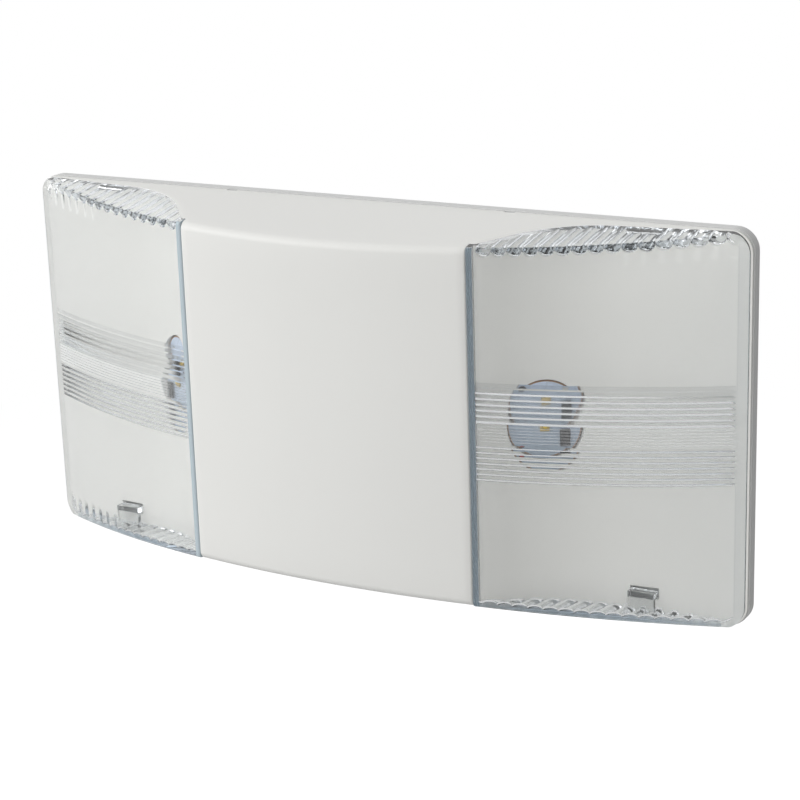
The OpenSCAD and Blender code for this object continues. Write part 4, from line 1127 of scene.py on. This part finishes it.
# Smoothing capacitors: aluminium cans in dark blue sleeves with a pale polarity stripe,
# each can's end left bare.
CAN_CENTRES = ((-8.3, -35.0), (6.2, -35.0))
can_blue = moulded("can_blue", (0.012, 0.02, 0.11), roughness=0.3, depth=0.15)
can_stripe = moulded("can_stripe", (0.42, 0.45, 0.55), roughness=0.3, depth=0.15)
can_end = brushed("can_end", (0.72, 0.72, 0.73), 0.3, along=(300.0, 300.0, 300.0))
CAN_END_R = 4.5
STRIPE_TURN, STRIPE_HALF = 0.9, 0.35


def can_finish(face):
    """Number 2 for the bare end, 1 for the stripe and 0 for the rest of the sleeve."""
    x, _, z = centre_of(face)
    can_x, can_z = min(CAN_CENTRES, key=lambda c: abs(c[0] - x))
    if face.normal.y < -0.8 and math.hypot(x - can_x, z - can_z) < CAN_END_R:
        return 2
    return int(abs(math.atan2(z - can_z, x - can_x) - STRIPE_TURN) < STRIPE_HALF)


dressed("cans", "capacitors", 0.45, (can_blue, can_stripe, can_end), angle=40, sort=can_finish)

# Relay: a sealed case moulded in orange polyester, soldered to the board. A fine groove
# rings its lid.
relay_orange = moulded("relay_orange", (0.62, 0.22, 0.02), roughness=0.36)
GROOVE_DEPTHS = (24.4, 24.8)
groove = boolean(block(-8, 12, *GROOVE_DEPTHS, -24, -1), block(-4.9, 9.1, 24, 25, -21.6, -3.6))
mesh = boolean(rounded("relay", 0.6), groove)
smooth(mesh)
place("relay_case", mesh, relay_orange, "relay")

# Terminal block: moulded in green polyamide and soldered to the board, with three clamps
# and a slotted zinc-plated screw over each.
block_green = moulded("block_green", (0.02, 0.21, 0.085), roughness=0.42)
dressed("mains_block", "terminal_block", 0.3, block_green)
dressed("clamp_screws", "terminal_screws", 0.12, zinc, angle=40)

# Fuse: a glass tube with nickel-plated caps and a fine wire, pushed into two spring clips
# on the board.
FUSE_X, FUSE_Z, FUSE_DEPTH = -16.6, -46.9, 17.0
GLASS_R, GLASS_BORE, GLASS_HALF = 2.4, 1.7, 9.5
CAP_R, CAP_FROM, CAP_TO = 2.6, 4.9, 10
WIRE_R, WIRE_HALF = 0.12, 5


def clear_moulding(name, scale, low, high, **settings):
    """Glass or clear plastic, a little uneven in colour."""
    paint, tree, shader = material(name)
    cloud = feed(tree, add(tree, "ShaderNodeTexNoise"), Vector=spot(tree), Scale=scale)
    feed(tree, shader, Base_Color=mixed(tree, cloud.outputs["Fac"], low, high), **settings)
    return paint


def fuse_finish(face):
    """Number 0 for glass and 1 for metal."""
    x, depth, z = centre_of(face)
    x, away = abs(x - FUSE_X), math.hypot(z - FUSE_Z, depth - FUSE_DEPTH)
    if x < CAP_FROM - 0.05:
        return int(away < 0.5)
    glass = abs(x - GLASS_HALF) < 0.1 or x < GLASS_HALF and 1 < away < GLASS_R + 0.05
    return int(not glass)


fuse_glass = clear_moulding("fuse_glass", 60.0, (0.93, 0.97, 0.96), (0.99, 1.0, 1.0),
                            Roughness=0.02, IOR=1.5, Transmission_Weight=1.0)
lie = Matrix.Translation(Vector((FUSE_X, -FUSE_DEPTH, FUSE_Z)) * MM) @ Matrix.Rotation(
    math.pi / 2, 4, "Y")
tube = boolean(prism(circle(0, 0, GLASS_R), -GLASS_HALF, GLASS_HALF, lie),
               prism(circle(0, 0, GLASS_BORE), -GLASS_HALF - 0.1, GLASS_HALF + 0.1, lie))
caps = [prism(circle(0, 0, CAP_R), *ends, lie)
        for ends in ((-CAP_TO, -CAP_FROM), (CAP_FROM, CAP_TO))]
wire = prism(circle(0, 0, WIRE_R, 8), -WIRE_HALF, WIRE_HALF, lie)
mesh = join(tube, *caps, wire)
smooth(mesh)
place("fuse", mesh, (fuse_glass, nickel), "fuse_tube", sort=fuse_finish)
dressed("clips", "fuse_clips", 0.1, nickel)

# Driver chip: a black epoxy body moulded round eight tinned legs, which are soldered to
# the board's face.
DRIVER_Z, DRIVER_HALF, DRIVER_FOOT = -37.6, 3.22, 0.55


def driver_finish(face):
    """Number 1 for the legs and 0 for the body."""
    _, depth, z = centre_of(face)
    return int(depth < BOARD_FACE + DRIVER_FOOT or abs(z - DRIVER_Z) > DRIVER_HALF)


dressed("driver", "driver_chip", 0.18, (black_mould, tinned), sort=driver_finish)

# Power transistor: a black epoxy body on a tinned copper tab, standing on three legs
# that are soldered to the board.
TAB_BACK, LEG_TOP, TAB_FROM = -34.55, 3.9, 13.1


def transistor_finish(face):
    """Number 1 for the legs and the tab, and 0 for the body."""
    _, depth, z = centre_of(face)
    return int(not BOARD_FACE + LEG_TOP <= depth <= BOARD_FACE + TAB_FROM
               or z < TAB_BACK and abs(face.normal.z) > 0.9)


dressed("transistor", "power_transistor", 0.15, (black_mould, tinned), sort=transistor_finish)

# Resistors: ceramic bodies with tan lacquer and printed colour rings, on tinned wires
# that are bent down and soldered to the board.
RESISTOR_X, RESISTOR_HALF, RING_HALF = 19.8, 3.31, 0.3
RINGS = ((-2.2, (0.16, 0.05, 0.015)), (-1.1, (0.02, 0.02, 0.02)), (0.0, (0.45, 0.02, 0.01)),
         (2.2, (0.48, 0.33, 0.08)))
lacquer, tree, shader, texture = grained("resistor_lacquer", scale=900.0, depth=0.1,
                                         roughness=0.35, spread=0.1, Coat_Weight=0.3)
across = spot(tree, "X")
colour = mixed(tree, texture["Cloud"], (0.55, 0.40, 0.22), (0.60, 0.44, 0.25))
for offset, ring in RINGS:
    away = maths(tree, "ABSOLUTE", maths(tree, "SUBTRACT", across, (RESISTOR_X + offset) * MM))
    colour = mixed(tree, maths(tree, "LESS_THAN", away, RING_HALF * MM), colour, ring)
feed(tree, shader, Base_Color=colour)
dressed("resistors_three", "resistors", 0.25, (lacquer, tinned), angle=50,
        sort=lambda face: int(abs(centre_of(face)[0] - RESISTOR_X) > RESISTOR_HALF))

# Indicator lamp and light pipe: a green epoxy diode lies on the board's lower edge,
# over a clear acrylic pipe that carries its light to the cover's underside.
INDICATOR_FOOT, INDICATOR_BACK = -57.25, 13.4


def indicator_finish(face):
    """Number 1 for the legs and 0 for the epoxy."""
    _, depth, z = centre_of(face)
    return int(z > INDICATOR_FOOT or depth < INDICATOR_BACK)


indicator = clear_moulding("indicator_epoxy", 300.0, (0.03, 0.42, 0.06), (0.05, 0.55, 0.10),
                           Roughness=0.12, IOR=1.5, Transmission_Weight=0.6)
dressed("indicator", "indicator_lamp", 0.05, (indicator, tinned), angle=60,
        sort=indicator_finish)
pipe = clear_moulding("clear_acrylic", 200.0, (0.93, 0.96, 0.94), (0.98, 1.0, 0.99),
                      Roughness=0.06, IOR=1.49, Transmission_Weight=1.0)
dressed("pipe", "light_pipe", 0.12, pipe, angle=40)

# Test switch: a sealed push switch in black moulding, its red plunger above the button
# that comes through the cover's underside.
dressed("push_switch", "test_switch", 0.25, black_mould)
plunger_red = moulded("plunger_red", (0.42, 0.03, 0.025), roughness=0.4)
dressed("plunger", "switch_plunger", 0.2, plunger_red, angle=40)
button_red = moulded("button_red", (0.50, 0.025, 0.02), roughness=0.35)
dressed("button", "test_button", 0.4, button_red, angle=40)
